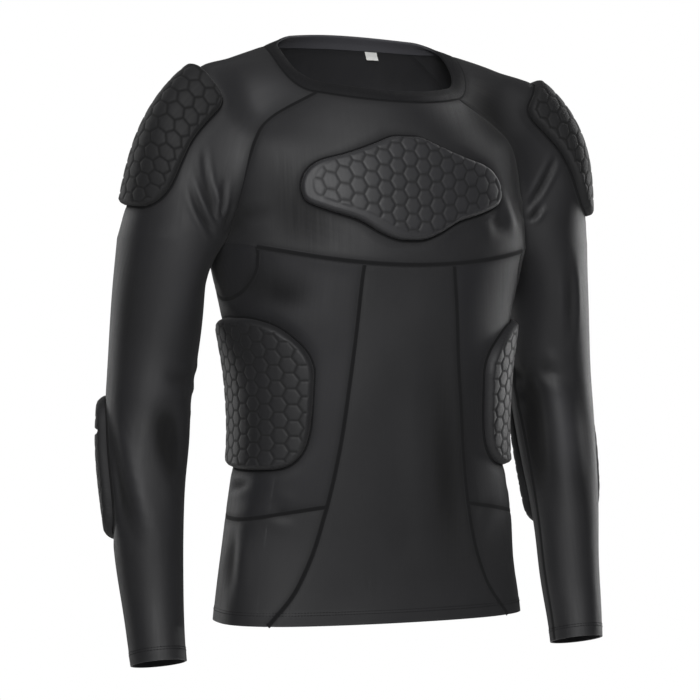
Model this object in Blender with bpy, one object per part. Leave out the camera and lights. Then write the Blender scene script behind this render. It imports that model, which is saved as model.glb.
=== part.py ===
"""Padded long-sleeve armour shirt in its worn form, hollow and open at neck, hem and cuffs.

Metres, +Z up. The front faces -Y and the wearer's left is +X. The origin is on the wearer's centre line,
level with the neck edge where the shirt rests on the shoulders.
"""
import math
from collections import namedtuple

import bpy
import numpy as np
from mathutils import Vector
from mathutils.geometry import delaunay_2d_cdt

# Driving dimensions
CLOTH_WALL = 0.0015
BAND_WALL = 0.0022
SEAM_GAP = 0.0003
BUST_Z = -0.242
FRONT_ARMPIT_LIFT = 0.024
BACK_ARMPIT_LIFT = 0.020
LIFT_FADE = 0.09
TORSO_ROUNDNESS = 2.4
SLEEVE_TOP_Z = -0.222
SLEEVE_FRONT_ANGLE = math.radians(138)
SLEEVE_BACK_ANGLE = math.radians(-146)
OUTER_FADE = 0.10
INNER_FADE = 0.012
HEX_PITCH = 0.017
PAD_RIM = 0.0025
PAD_FULL = 0.0065
PAD_CROWN = 0.0015
PAD_EDGE = 0.005
PAD_MARGIN = 0.009
PAD_CROWN_RUN = 0.027
CELL_START = 0.006
CELL_RELIEF = 0.0028
CELL_SLOPE = 0.0026
PAD_SEAT = CLOTH_WALL / 2 + 0.0009
SHOULDER_SEAT = CLOTH_WALL / 2 + 0.0013
RIB_SEAT = CLOTH_WALL / 2 + 0.0017
ELBOW_SEAT = CLOTH_WALL / 2 + 0.0016
OUTLINE_STEP = 0.013
LABEL_WALL = 0.0006

# Girths from the neck edge (first row) and the neck seam (second) down to the bust seam (last).
# A seam column is where the raglan seam crosses the girth, and a crease how far the cloth turns there.
# The shoulder's rise is the girth's slope towards the back as it crosses the shoulder.
YokeRow = namedtuple("YokeRow", (
    "chest_half front_y front_z front_seam_x front_seam_z shoulder_x shoulder_y shoulder_z "
    "back_half back_y back_z back_seam_x back_seam_z roundness front_crease back_crease shoulder_rise"))
YOKE_ROWS = (
    YokeRow(.0985, .083, -.0525, .073, -.0445, .0985, .017, .002,
            .0985, .062, .0245, .073, .0185, 2.0, 0, 0, .62),
    YokeRow(.113, .094, -.0645, .084, -.055, .1135, .015, .0005,
            .113, .071, .010, .081, .0065, 2.0, 0, 0, .45),
    YokeRow(.148, .105, -.098, .132, -.082, .160, .001, -.0155,
            .160, .090, -.034, .124, -.032, 2.1, 0, 0, .10),
    YokeRow(.175, .113, -.143, .155, -.111, .212, -.010, -.036,
            .176, .102, -.080, .148, -.076, 2.2, 5, 5, 0),
    YokeRow(.181, .119, -.192, .169, -.170, .257, -.008, -.100,
            .181, .112, -.150, .166, -.145, 2.3, 65, 60, 0),
    YokeRow(.182, .1215, BUST_Z, .179, BUST_Z + FRONT_ARMPIT_LIFT, .281, .018, -.212,
            .182, .114, BUST_Z, .174, BUST_Z + BACK_ARMPIT_LIFT, TORSO_ROUNDNESS, 131, 128, 0),
)
YOKE_LEVELS = tuple(range(len(YOKE_ROWS)))
NECK_SEAM = 1
BUST_LEVEL = len(YOKE_ROWS) - 1

TorsoRow = namedtuple("TorsoRow", "drop half_width front back middle_y")
TORSO_ROWS = (
    TorsoRow(.242, .1820, .1215, .114, .0000),
    TorsoRow(.256, .1785, .1195, .112, .0000),
    TorsoRow(.272, .1745, .1175, .110, -.0010),
    TorsoRow(.300, .1655, .1145, .107, -.0030),
    TorsoRow(.340, .1568, .1095, .103, -.0050),
    TorsoRow(.390, .1522, .1020, .099, -.0080),
    TorsoRow(.440, .1525, .0940, .097, -.0100),
    TorsoRow(.470, .1565, .0885, .098, -.0115),
    TorsoRow(.520, .1645, .0800, .102, -.0130),
    TorsoRow(.560, .1700, .0755, .105, -.0140),
    TorsoRow(.600, .1745, .0745, .108, -.0140),
    TorsoRow(.630, .1780, .0755, .110, -.0140),
)

SleeveRow = namedtuple("SleeveRow", "drop x y half_width half_depth")
SLEEVE_ROWS = (
    SleeveRow(.222, .2345, .0220, .0475, .0620),
    SleeveRow(.278, .2365, .0260, .0490, .0600),
    SleeveRow(.360, .2440, .0260, .0475, .0500),
    SleeveRow(.434, .2520, .0215, .0440, .0460),
    SleeveRow(.530, .2545, .0030, .0375, .0390),
    SleeveRow(.605, .2545, -.0110, .0325, .0340),
    SleeveRow(.668, .2520, -.0280, .0290, .0310),
)

# Half distance between the two front princess seams
PrincessRow = namedtuple("PrincessRow", "drop x")
PRINCESS_ROWS = (
    PrincessRow(.242, .0527), PrincessRow(.370, .0650), PrincessRow(.440, .0728), PrincessRow(.503, .0848),
    PrincessRow(.560, .1008), PrincessRow(.600, .1200), PrincessRow(.630, .1434),
)

# Lines of the body panels: height at the front, how far the underarm gusset pulls the line down beneath
# the arm, and how far the line falls towards the side.
BodyLine = namedtuple("BodyLine", "z gusset_sag side_drop")
BODY_LINES = (
    BodyLine(BUST_Z, 0, 0), BodyLine(-.2455, .020, 0), BodyLine(-.249, .040, 0),
    BodyLine(-.270, .034, 0), BodyLine(-.295, .021, 0), BodyLine(-.321, .010, 0),
    BodyLine(-.348, .003, 0), BodyLine(-.380, 0, 0), BodyLine(-.416, 0, -.004),
    BodyLine(-.456, 0, -.012), BodyLine(-.496, 0, -.021), BodyLine(-.540, 0, -.012),
    BodyLine(-.577, 0, -.004), BodyLine(-.608, 0, 0), BodyLine(-.630, 0, 0),
)
GUSSET_LINE = 2
HIP_LINE = 10
GUSSET_FRONT = math.radians(60)
GUSSET_LOWEST = math.radians(88)
GUSSET_BACK_RISE = 0.35

# Troughs that fan from the armpit over the sleeve cap, by turn round the cap and level of the yoke
Fold = namedtuple("Fold", "turn level end_turn end_level width depth")
CAP_FOLDS = (
    Fold(-.97, 4.95, -.62, 4.25, .008, .0050),
    Fold(-.98, 4.75, -.72, 3.85, .007, .0045),
    Fold(-.97, 4.50, -.82, 3.55, .006, .0035),
    Fold(.97, 4.90, .62, 4.20, .009, .0045),
    Fold(.97, 4.60, .76, 3.80, .008, .0035),
)
FOLD_SAMPLES = 25
FOLD_TAPER = 0.6

# Columns and rows of each stretch of cloth
FRONT_CENTER_COLUMNS = 4
FRONT_SIDE_COLUMNS = 3
GUSSET_FRONT_COLUMNS = 2
UNDERARM_COLUMNS = 5
BACK_COLUMNS = 6
CAP_TURNS = (-1, -.93, -.85, -.76, -.66, -.54, -.4, -.2, 0, .2, .4, .56, .7, .82, .91, 1)
YOKE_ROW_LEVELS = (1, 1.4, 1.85, 2.3, 2.75, 3.2, 3.55, 3.9, 4.25, 4.55, 4.8, 5)
BAND_ROW_LEVELS = (0, .5, 1)
SLEEVE_LINES = (-.222, -.228, -.237, -.255, -.312, -.370, -.405, -.434, -.465, -.510, -.560, -.612, -.668)
# Lines of the sleeve where one stretch of it ends and the next begins
ARMPIT_LINE = 3
ELBOW_LINE = 7
# The sleeve's top is in two halves that meet on the shoulder and at this column under the arm
SHOULDER_COLUMN = CAP_TURNS.index(0)
UNDERARM_COLUMN = 3

# Outlines in metres on the flat: first value towards the wearer's left or back, second up
CHEST_HALF_OUTLINE = ((0, .060), (.016, .059), (.034, .051), (.070, .033), (.097, .020), (.113, .007),
                      (.120, -.008), (.115, -.022), (.092, -.028), (.060, -.034), (.034, -.046),
                      (.016, -.052), (0, -.053))
RIB_OUTLINE = ((.050, .084), (0, .084), (-.028, .082), (-.054, .073), (-.076, .051), (-.083, .030),
               (-.080, .005), (-.073, -.040), (-.064, -.064), (-.048, -.077), (-.018, -.081), (.045, -.080),
               (.066, -.068), (.074, -.040), (.076, .040), (.068, .070))
SHOULDER_OUTLINE = ((0, .073), (-.028, .075), (-.048, .076), (-.058, .066), (-.060, .045), (-.060, .015),
                    (-.061, -.020), (-.058, -.058), (-.050, -.084), (-.036, -.097), (-.014, -.099),
                    (.014, -.097), (.036, -.092), (.050, -.078), (.058, -.050), (.061, -.010), (.060, .030),
                    (.056, .060), (.040, .072))
ELBOW_OUTLINE = ((0, .079), (-.030, .076), (-.050, .064), (-.058, .036), (-.058, -.010), (-.053, -.052),
                 (-.042, -.074), (-.018, -.083), (.018, -.083), (.042, -.074), (.053, -.052), (.058, -.010),
                 (.058, .036), (.050, .064), (.030, .076))
LABEL_OUTLINE = ((-.007, -.005), (.007, -.005), (.007, .005), (-.007, .005))

# Where each outline's middle sits on the cloth
CHEST_MIDDLE_LEVEL = 3.42
RIB_MIDDLE_ANGLE = math.radians(80)
RIB_MIDDLE_Z = -.382
SHOULDER_MIDDLE_LEVEL = 3.82
ELBOW_MIDDLE_TURN = .48
ELBOW_MIDDLE_Z = -.453
ELBOW_GROOVE_HEIGHT = .036
ELBOW_GROOVE_HALF = .004
ELBOW_GROOVE_FLOOR = .35
LABEL_MIDDLE_SHARE = .39
LABEL_MIDDLE_LEVEL = 1.15

# How far the flat patterns may reach along the cloth
RIB_REACH_Z = (-.6, BUST_Z)
ELBOW_REACH_TURN = (-1, 1.8)
ELBOW_REACH_Z = (-.66, -.24)
YOKE_REACH_LEVEL = (BUST_LEVEL, NECK_SEAM)
LABEL_REACH_LEVEL = (2, NECK_SEAM)

Finish = namedtuple("Finish", "color roughness")
CLOTH = Finish((.022, .022, .024), .55)
SIDE_CLOTH = Finish((.018, .018, .020), .58)
BAND_CLOTH = Finish((.028, .028, .030), .62)
PAD_CLOTH = Finish((.030, .030, .032), .45)
LABEL_CLOTH = Finish((.80, .80, .78), .70)

SMALL = 1e-4
WELD_DIGITS = 6
SHARP_ANGLE = math.radians(40)
CHART_SAMPLES = 60
CURVE_PARTS = 12


def smooth_through(knots, values, at):
    """Smooth curve through a table's values, read at the places given."""
    knots = np.asarray(knots, float)
    values = np.asarray(values, float)
    slopes = np.gradient(values, knots)
    at = np.clip(np.asarray(at, float), knots[0], knots[-1])
    low = np.clip(np.searchsorted(knots, at, side="right") - 1, 0, len(knots) - 2)
    step = knots[low + 1] - knots[low]
    part = (at - knots[low]) / step
    rest = 1 - part
    ends = values[low] * (1 + 2 * part) * rest ** 2 + values[low + 1] * (3 - 2 * part) * part ** 2
    return ends + step * part * rest * (slopes[low] * rest - slopes[low + 1] * part)


def read_rows(rows, knots, at):
    """All columns of a table, read smoothly at the places given."""
    columns = [smooth_through(knots, column, at) for column in zip(*rows)]
    return type(rows[0])(*columns)


def unit(ways):
    return ways / np.linalg.norm(ways, axis=-1, keepdims=True)


def turned(ways, degrees):
    """Ways turned about the upright axis."""
    angle = np.radians(degrees)
    x, y, z = np.moveaxis(ways, -1, 0)
    return np.stack([x * np.cos(angle) - y * np.sin(angle), x * np.sin(angle) + y * np.cos(angle), z], -1)


def arc_between(start, start_way, end, end_way, share):
    """Smooth arc from start to end that leaves and arrives along the given ways."""
    chord = np.linalg.norm(end - start, axis=-1, keepdims=True)
    turning = np.arccos(np.clip((start_way * end_way).sum(-1, keepdims=True), -1, 1))
    pull = chord / np.cos(turning / 4) ** 2
    part = share[..., None]
    rest = 1 - part
    ends = start * (1 + 2 * part) * rest ** 2 + end * (3 - 2 * part) * part ** 2
    return ends + pull * part * rest * (start_way * rest - end_way * part)


def half_girth(share, half, reach, seam_x, middle_z, seam_z, roundness):
    """Point of a front or back girth, from its middle (share 0) to its raglan seams (share -1 and 1)."""
    seam_sine = seam_x / half
    sine = np.sin(np.abs(share) * np.arcsin(seam_sine))
    x = np.sign(share) * half * sine
    y = reach * (1 - sine ** roundness) ** (1 / roundness)
    z = middle_z + (seam_z - middle_z) * (sine / seam_sine) ** 2
    return np.stack([x, y, z], -1)


def front_point(share, level):
    share, level = np.broadcast_arrays(np.asarray(share, float), np.asarray(level, float))
    row = read_rows(YOKE_ROWS, YOKE_LEVELS, level)
    return half_girth(share, row.chest_half, -row.front_y, row.front_seam_x, row.front_z, row.front_seam_z,
                      row.roundness)


def back_point(share, level):
    share, level = np.broadcast_arrays(np.asarray(share, float), np.asarray(level, float))
    row = read_rows(YOKE_ROWS, YOKE_LEVELS, level)
    return half_girth(share, row.back_half, row.back_y, row.back_seam_x, row.back_z, row.back_seam_z,
                      row.roundness)


def cap_point(turn, level):
    """Point of the left sleeve cap: turn -1 at the front seam, 0 on the shoulder, 1 at the back seam."""
    turn, level = np.broadcast_arrays(np.asarray(turn, float), np.asarray(level, float))
    row = read_rows(YOKE_ROWS, YOKE_LEVELS, level)
    seam_share = np.ones_like(level)
    front_seam = front_point(seam_share, level)
    front_way = turned(unit(front_seam - front_point(seam_share - SMALL, level)), -row.front_crease)
    back_seam = back_point(seam_share, level)
    back_way = turned(unit(back_point(seam_share - SMALL, level) - back_seam), row.back_crease)
    top = np.stack([row.shoulder_x, row.shoulder_y, row.shoulder_z], -1)
    over = unit(np.stack([np.zeros_like(level), np.ones_like(level), row.shoulder_rise], -1))
    front_half = arc_between(front_seam, front_way, top, over, turn + 1)
    back_half = arc_between(top, over, back_seam, back_way, turn)
    return np.where((turn < 0)[..., None], front_half, back_half)


BUST = YOKE_ROWS[BUST_LEVEL]
FRONT_ARMPIT = math.asin(BUST.front_seam_x / BUST.chest_half)
BACK_ARMPIT = math.pi - math.asin(BUST.back_seam_x / BUST.back_half)


def armpit_lift(angle):
    """How far the bust line rises from the front and back middles to the underarm."""
    front = FRONT_ARMPIT_LIFT * (np.sin(angle) / math.sin(FRONT_ARMPIT)) ** 2
    back = BACK_ARMPIT_LIFT * (np.sin(angle) / math.sin(BACK_ARMPIT)) ** 2
    under = np.interp(angle, (FRONT_ARMPIT, BACK_ARMPIT), (FRONT_ARMPIT_LIFT, BACK_ARMPIT_LIFT))
    return np.where(angle < FRONT_ARMPIT, front, np.where(angle > BACK_ARMPIT, back, under))


def torso_row(z):
    return read_rows(TORSO_ROWS, [row.drop for row in TORSO_ROWS], -np.asarray(z, float))


def torso_point(angle, z):
    """Point of the body below the bust line: angle 0 at the front, a quarter turn at the left side."""
    angle, z = np.broadcast_arrays(np.asarray(angle, float), np.asarray(z, float))
    row = torso_row(z)
    sine = np.sin(angle)
    depth = np.clip(1 - np.abs(sine) ** TORSO_ROUNDNESS, 0, 1) ** (1 / TORSO_ROUNDNESS)
    reach = np.where(np.cos(angle) > 0, -row.front, row.back)
    fade = np.clip((BUST_Z - z) / LIFT_FADE, 0, 1)
    lift = armpit_lift(angle) * (1 - fade) ** 2 * (1 + 2 * fade)
    return np.stack([row.half_width * sine, row.middle_y + reach * depth, z + lift], -1)


def underarm_point(share):
    """Line under the arm where sleeve and body part, from the back (share 0) to the front (share 1)."""
    return torso_point(BACK_ARMPIT + (FRONT_ARMPIT - BACK_ARMPIT) * share, BUST_Z)


def sleeve_ring(theta, z):
    """Plain oval ring of the left sleeve, square to the arm; theta 0 is outermost, plus is the front."""
    drops = [row.drop for row in SLEEVE_ROWS]
    row = read_rows(SLEEVE_ROWS, drops, -z)
    ahead = read_rows(SLEEVE_ROWS, drops, SMALL - z)
    behind = read_rows(SLEEVE_ROWS, drops, -SMALL - z)
    run = np.maximum(ahead.drop - behind.drop, SMALL)
    lean = np.arctan((ahead.y - behind.y) / run) * np.clip((SLEEVE_TOP_Z - z) / OUTER_FADE, 0, 1)
    lateral = row.half_width * np.cos(theta)
    depth = -row.half_depth * np.sin(theta)
    return np.stack([row.x + lateral, row.y + depth * np.cos(lean), z + depth * np.sin(lean)], -1)


def sleeve_point(turn, z):
    """Point of the left sleeve below its cap; turn 1 to 3 runs on from the back seam under the arm."""
    turn, z = np.broadcast_arrays(np.asarray(turn, float), np.asarray(z, float))
    angles = (SLEEVE_FRONT_ANGLE, 0, SLEEVE_BACK_ANGLE, SLEEVE_FRONT_ANGLE - 2 * math.pi)
    theta = np.interp(turn, (-1, 0, 1, 3), angles)
    over = cap_point(np.minimum(turn, 1), BUST_LEVEL)
    under = underarm_point((np.maximum(turn, 1) - 1) / 2)
    top = np.where((turn <= 1)[..., None], over, under)
    inward = (1 - np.cos(theta)) / 2
    fade_length = OUTER_FADE + (INNER_FADE - OUTER_FADE) * inward
    fade = np.exp(-((SLEEVE_TOP_Z - z) / fade_length) ** (2 - inward))
    offset = top - sleeve_ring(theta, np.full_like(z, SLEEVE_TOP_Z))
    return sleeve_ring(theta, z) + offset * fade[..., None]


def princess_angle(z):
    drops = [row.drop for row in PRINCESS_ROWS]
    x = smooth_through(drops, [row.x for row in PRINCESS_ROWS], -z)
    return float(np.arcsin(x / torso_row(z).half_width))


def front_shares():
    """Columns of the front at the bust line as shares of the way to the raglan."""
    split = princess_angle(BUST_Z) / FRONT_ARMPIT
    gusset = GUSSET_FRONT / FRONT_ARMPIT
    middle = np.linspace(0, split, FRONT_CENTER_COLUMNS + 1)
    side = np.linspace(split, gusset, FRONT_SIDE_COLUMNS + 1)
    return np.concatenate([middle, side[1:], np.linspace(gusset, 1, GUSSET_FRONT_COLUMNS + 1)[1:]])


def gusset_share(angle):
    """How much of a line's gusset sag applies round the body: none in front, all beneath the arm."""
    forward = np.clip((GUSSET_LOWEST - angle) / (GUSSET_LOWEST - GUSSET_FRONT), 0, 1)
    rearward = np.clip((angle - GUSSET_LOWEST) / (BACK_ARMPIT - GUSSET_LOWEST), 0, 1)
    behind = np.clip((angle - BACK_ARMPIT) / (math.pi - BACK_ARMPIT), 0, 1)
    return np.sqrt(1 - forward ** 2) * (1 - GUSSET_BACK_RISE * rearward ** 2) * (1 - behind) ** 2


def body_line(line, angle):
    """Points of one body line at the angles given."""
    z = line.z - line.gusset_sag * gusset_share(angle) + line.side_drop * np.sin(angle) ** 2
    return torso_point(angle, z)


def front_grid(first_angles, last_angles, lines, columns):
    """Grid of body points between two front seams, given as one angle for every line."""
    angles = np.linspace(first_angles, last_angles, columns + 1).T
    return np.array([body_line(line, across) for line, across in zip(lines, angles)])


def body_grid(angles, lines):
    return np.array([body_line(line, angles) for line in lines])


def cloth_grids():
    """Left half of every stretch of cloth, as (panel, whether it has a left and a right, grid)."""
    levels = np.array(YOKE_ROW_LEVELS)[:, None]
    band = np.array(BAND_ROW_LEVELS)[:, None]
    shares = front_shares()[None, :]
    back_shares = np.linspace(1, 0, BACK_COLUMNS + 1)[None, :]
    turns = np.array(CAP_TURNS)[None, :]
    under_turns = np.linspace(1, 3, UNDERARM_COLUMNS + 1)
    sleeve_turns = np.concatenate([CAP_TURNS, under_turns[1:]])[None, :]
    sleeve_lines = np.array(SLEEVE_LINES)[:, None]
    at_armpit = sleeve_lines[:ARMPIT_LINE + 1]
    above_elbow = sleeve_lines[ARMPIT_LINE:ELBOW_LINE + 1]
    below_elbow = sleeve_lines[ELBOW_LINE:]
    front_turns, back_turns = turns[:, :SHOULDER_COLUMN + 1], turns[:, SHOULDER_COLUMN:]
    under_split = len(CAP_TURNS) - 1 + UNDERARM_COLUMN
    behind_turns = sleeve_turns[:, SHOULDER_COLUMN:under_split + 1]
    upper = BODY_LINES[:HIP_LINE + 1]
    lower = BODY_LINES[HIP_LINE:]
    gusset_front = np.linspace(GUSSET_FRONT, FRONT_ARMPIT, GUSSET_FRONT_COLUMNS + 1)
    under_arm = np.linspace(FRONT_ARMPIT, BACK_ARMPIT, UNDERARM_COLUMNS + 1)
    under = np.concatenate([gusset_front, under_arm[1:]])
    behind = np.linspace(BACK_ARMPIT, math.pi, BACK_COLUMNS + 1)
    princess = np.array([princess_angle(line.z) for line in BODY_LINES])
    middle = np.zeros_like(princess)
    edge = np.full_like(princess, GUSSET_FRONT)
    return (
        ("neckband", False, front_point(shares, band)),
        ("neckband", False, cap_point(turns, band)),
        ("neckband", False, back_point(back_shares, band)),
        ("front_yoke", False, front_point(shares, levels)),
        ("back_yoke", False, back_point(back_shares, levels)),
        ("back", False, body_grid(behind, BODY_LINES)),
        ("front_center", False, front_grid(middle, princess, BODY_LINES, FRONT_CENTER_COLUMNS)),
        ("side", True, front_grid(princess[:HIP_LINE + 1], edge[:HIP_LINE + 1], upper, FRONT_SIDE_COLUMNS)),
        ("side", True, body_grid(under, upper[GUSSET_LINE:])),
        ("gusset", True, body_grid(under, upper[:GUSSET_LINE + 1])),
        ("hip", True, front_grid(princess[HIP_LINE:], edge[HIP_LINE:], lower, FRONT_SIDE_COLUMNS)),
        ("hip", True, body_grid(under, lower)),
        ("raglan_front", True, cap_point(front_turns, levels)),
        ("raglan_front", True, sleeve_point(front_turns, at_armpit)),
        ("raglan_front", True, sleeve_point(sleeve_turns[:, under_split:], at_armpit)),
        ("raglan_back", True, cap_point(back_turns, levels)),
        ("raglan_back", True, sleeve_point(behind_turns, at_armpit)),
        ("sleeve_upper", True, sleeve_point(sleeve_turns, above_elbow)),
        ("sleeve_lower", True, sleeve_point(sleeve_turns, below_elbow)),
    )


def mirrored(points):
    return points * np.array([-1, 1, 1])


def fold_depth(points):
    """How far the troughs sink the cloth at each point, the same on both sides."""
    left = np.column_stack([np.abs(points[:, 0]), points[:, 1:]])
    along = np.linspace(0, 1, FOLD_SAMPLES)
    depth = np.zeros(len(points))
    for fold in CAP_FOLDS:
        turns = fold.turn + (fold.end_turn - fold.turn) * along
        levels = fold.level + (fold.end_level - fold.level) * along
        path = cap_point(turns, levels)
        gap = np.linalg.norm(left[:, None, :] - path[None, :, :], axis=-1)
        strength = np.sin(math.pi * along) ** FOLD_TAPER
        depth += fold.depth * (strength * np.exp(-(gap / fold.width) ** 2)).max(axis=1)
    return depth


def vertex_normals(points, quads):
    corners = points[quads]
    normals = np.cross(corners[:, 2] - corners[:, 0], corners[:, 3] - corners[:, 1])
    total = np.zeros_like(points)
    for corner in range(4):
        np.add.at(total, quads[:, corner], normals)
    return unit(total)


def sew_cloth():
    """Weld all the grids into one surface, press in the folds, and sort its quads by panel."""
    numbers = {}
    points = []
    panels = {}

    def number(point):
        key = tuple(np.round(point, WELD_DIGITS) + 0.0)
        if key not in numbers:
            numbers[key] = len(points)
            points.append(point)
        return numbers[key]

    for panel, sided, grid in cloth_grids():
        for suffix, half in (("_left", grid), ("_right", mirrored(grid)[:, ::-1])):
            ids = np.array([[number(point) for point in row] for row in half])
            corners = (ids[:-1, :-1], ids[1:, :-1], ids[1:, 1:], ids[:-1, 1:])
            quads = np.stack(corners, -1).reshape(-1, 4)
            panels.setdefault(panel + suffix if sided else panel, []).append(quads)
    points = np.array(points)
    panels = {name: np.concatenate(parts) for name, parts in panels.items()}
    every_quad = np.concatenate(list(panels.values()))
    points = points - vertex_normals(points, every_quad) * fold_depth(points)[:, None]
    return points, vertex_normals(points, every_quad), panels


def open_edges(quads):
    """Edges that only one of the quads has, in its own turning sense, with that quad's number."""
    owners = {}
    for owner, quad in enumerate(quads):
        for first, second in zip(quad, np.roll(quad, -1)):
            owners[(int(first), int(second))] = owner
    return [(*edge, owner) for edge, owner in owners.items() if (edge[1], edge[0]) not in owners]


def drawn_in(points, quads):
    """Points with the panel's own border moved in, along its cloth, by half of the seam gap."""
    moved = points.copy()
    corners = points[quads]
    facing = np.cross(corners[:, 2] - corners[:, 0], corners[:, 3] - corners[:, 1])
    inward = {}
    for first, second, owner in open_edges(quads):
        across = np.cross(facing[owner], points[second] - points[first])
        for end in (first, second):
            inward.setdefault(end, []).append(across / np.linalg.norm(across))
    for end, ways in inward.items():
        total = np.sum(ways, axis=0)
        mitre = len(ways) * total / total.dot(total)
        moved[end] = points[end] + mitre * SEAM_GAP / 2
    return moved


def finish_material(name, finish):
    material = bpy.data.materials.new(name)
    material.use_nodes = True
    shader = material.node_tree.nodes["Principled BSDF"]
    shader.inputs["Base Color"].default_value = (*finish.color, 1)
    shader.inputs["Roughness"].default_value = finish.roughness
    shader.inputs["Metallic"].default_value = 0
    return material


def add_node(name, points, faces, finish):
    mesh = bpy.data.meshes.new(name)
    mesh.from_pydata([tuple(point) for point in points], [], [tuple(map(int, face)) for face in faces])
    mesh.materials.append(finish_material(name, finish))
    mesh.shade_smooth()
    mesh.set_sharp_from_angle(angle=SHARP_ANGLE)
    node = bpy.data.objects.new(name, mesh)
    bpy.context.scene.collection.objects.link(node)
    return node


def split_quads(quads):
    return np.concatenate([quads[:, [0, 1, 2]], quads[:, [0, 2, 3]]])


def add_panel(name, points, normals, quads, wall, finish):
    """One cut panel as a closed wall round its middle surface."""
    seated = drawn_in(points, quads)
    used = np.unique(quads)
    local = {int(old): new for new, old in enumerate(used)}
    outer = seated[used] + normals[used] * wall / 2
    inner = seated[used] - normals[used] * wall / 2
    count = len(used)
    outside = np.vectorize(local.get)(split_quads(quads))
    inside = outside[:, ::-1] + count
    rim = []
    for first, second, _ in open_edges(quads):
        low, high = local[first], local[second]
        if first < second:
            rim += [(high, low, high + count), (low, low + count, high + count)]
        else:
            rim += [(high, low, low + count), (high, low + count, high + count)]
    add_node(name, np.concatenate([outer, inner]), np.concatenate([outside, inside, rim]), finish)


def chart(surface, middle_across, across_ends, middle_along, along_ends):
    """Map from flat pattern lengths to a surface: up its middle line first, then across from it."""
    def run_through(ends, middle):
        before = np.linspace(ends[0], middle, CHART_SAMPLES + 1)
        return np.concatenate([before, np.linspace(middle, ends[1], CHART_SAMPLES + 1)[1:]])

    def lengths(points):
        steps = np.linalg.norm(np.diff(points, axis=-2), axis=-1)
        total = np.concatenate([np.zeros(steps.shape[:-1] + (1,)), np.cumsum(steps, axis=-1)], axis=-1)
        return total - total[..., CHART_SAMPLES:CHART_SAMPLES + 1]

    along = run_through(along_ends, middle_along)
    across = run_through(across_ends, middle_across)
    heights = lengths(surface(np.full_like(along, middle_across), along))

    def place(flat):
        row = np.interp(flat[:, 1], heights, along)
        widths = lengths(surface(across[None, :], row[:, None]))
        column = np.array([np.interp(p, width, across) for p, width in zip(flat[:, 0], widths)])
        point = surface(column, row)
        sideways = surface(column + SMALL, row) - surface(column - SMALL, row)
        step = SMALL * math.copysign(1, along_ends[1] - along_ends[0])
        upward = surface(column, row + step) - surface(column, row - step)
        return point, unit(np.cross(sideways, upward))

    return place


def closed_curve(corners, step):
    """Smooth closed curve through an outline's points, cut into even steps."""
    loop = np.array(corners, float)
    fine = []
    parts = np.linspace(0, 1, CURVE_PARTS, endpoint=False)[:, None]
    for i in range(len(loop)):
        before, start, end, after = (loop[(i + k) % len(loop)] for k in (-1, 0, 1, 2))
        way_in, way_out = (end - before) / 2, (after - start) / 2
        rest = 1 - parts
        ends = start * (1 + 2 * parts) * rest ** 2 + end * (3 - 2 * parts) * parts ** 2
        fine.append(ends + parts * rest * (way_in * rest - way_out * parts))
    fine = np.concatenate(fine)
    closed = np.concatenate([fine, fine[:1]])
    total = np.concatenate([[0], np.cumsum(np.linalg.norm(np.diff(closed, axis=0), axis=1))])
    places = np.linspace(0, total[-1], round(total[-1] / step), endpoint=False)
    even = np.stack([np.interp(places, total, closed[:, axis]) for axis in (0, 1)], -1)
    return even if signed_area(even) > 0 else even[::-1]


def signed_area(loop):
    x, y = loop[:, 0], loop[:, 1]
    return (x * np.roll(y, -1) - y * np.roll(x, -1)).sum() / 2


def inside_distance(points, loop):
    """Distance from each point to a closed outline, positive inside it."""
    start = loop[None, :, :]
    way = np.roll(loop, -1, axis=0)[None, :, :] - start
    offset = points[:, None, :] - start
    share = np.clip((offset * way).sum(-1) / (way ** 2).sum(-1), 0, 1)
    distance = np.linalg.norm(offset - share[..., None] * way, axis=-1).min(axis=1)
    ends = start + way
    upward = (start[..., 1] > points[:, None, 1]) != (ends[..., 1] > points[:, None, 1])
    rise = np.where(way[..., 1] == 0, 1, way[..., 1])
    crossing = start[..., 0] + way[..., 0] * (points[:, None, 1] - start[..., 1]) / rise
    inside = (upward & (points[:, None, 0] < crossing)).sum(axis=1) % 2 == 1
    return np.where(inside, distance, -distance)


def drawn_in_loop(loop, width):
    way = np.roll(loop, -1, axis=0) - np.roll(loop, 1, axis=0)
    return loop + width * unit(np.stack([-way[:, 1], way[:, 0]], -1))


def hex_centers(loop):
    """Middles of hexagons with flat tops that cover an outline."""
    column_step = HEX_PITCH * math.sqrt(3) / 2
    reach = np.abs(loop).max() + HEX_PITCH
    columns = int(reach / column_step)
    rows = int(reach / HEX_PITCH)
    return np.array([(i * column_step, (j + (i % 2) / 2) * HEX_PITCH)
                     for i in range(-columns, columns + 1) for j in range(-rows, rows + 1)])


def cell_height(flat):
    """1 on the top of a hexagonal cell, sloping to 0 at the cell's border."""
    column_step = HEX_PITCH * math.sqrt(3) / 2
    column = np.round(flat[:, 0] / column_step)
    reach = np.full(len(flat), np.inf)
    for shift in (-1, 0, 1):
        near = column + shift
        half = np.mod(near, 2) / 2
        row = np.round(flat[:, 1] / HEX_PITCH - half) + half
        across = np.abs(flat[:, 0] - near * column_step)
        along = np.abs(flat[:, 1] - row * HEX_PITCH)
        reach = np.minimum(reach, np.maximum(along, across * math.sqrt(3) / 2 + along / 2))
    return np.clip((HEX_PITCH / 2 - reach) / CELL_SLOPE, 0, 1)


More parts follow.
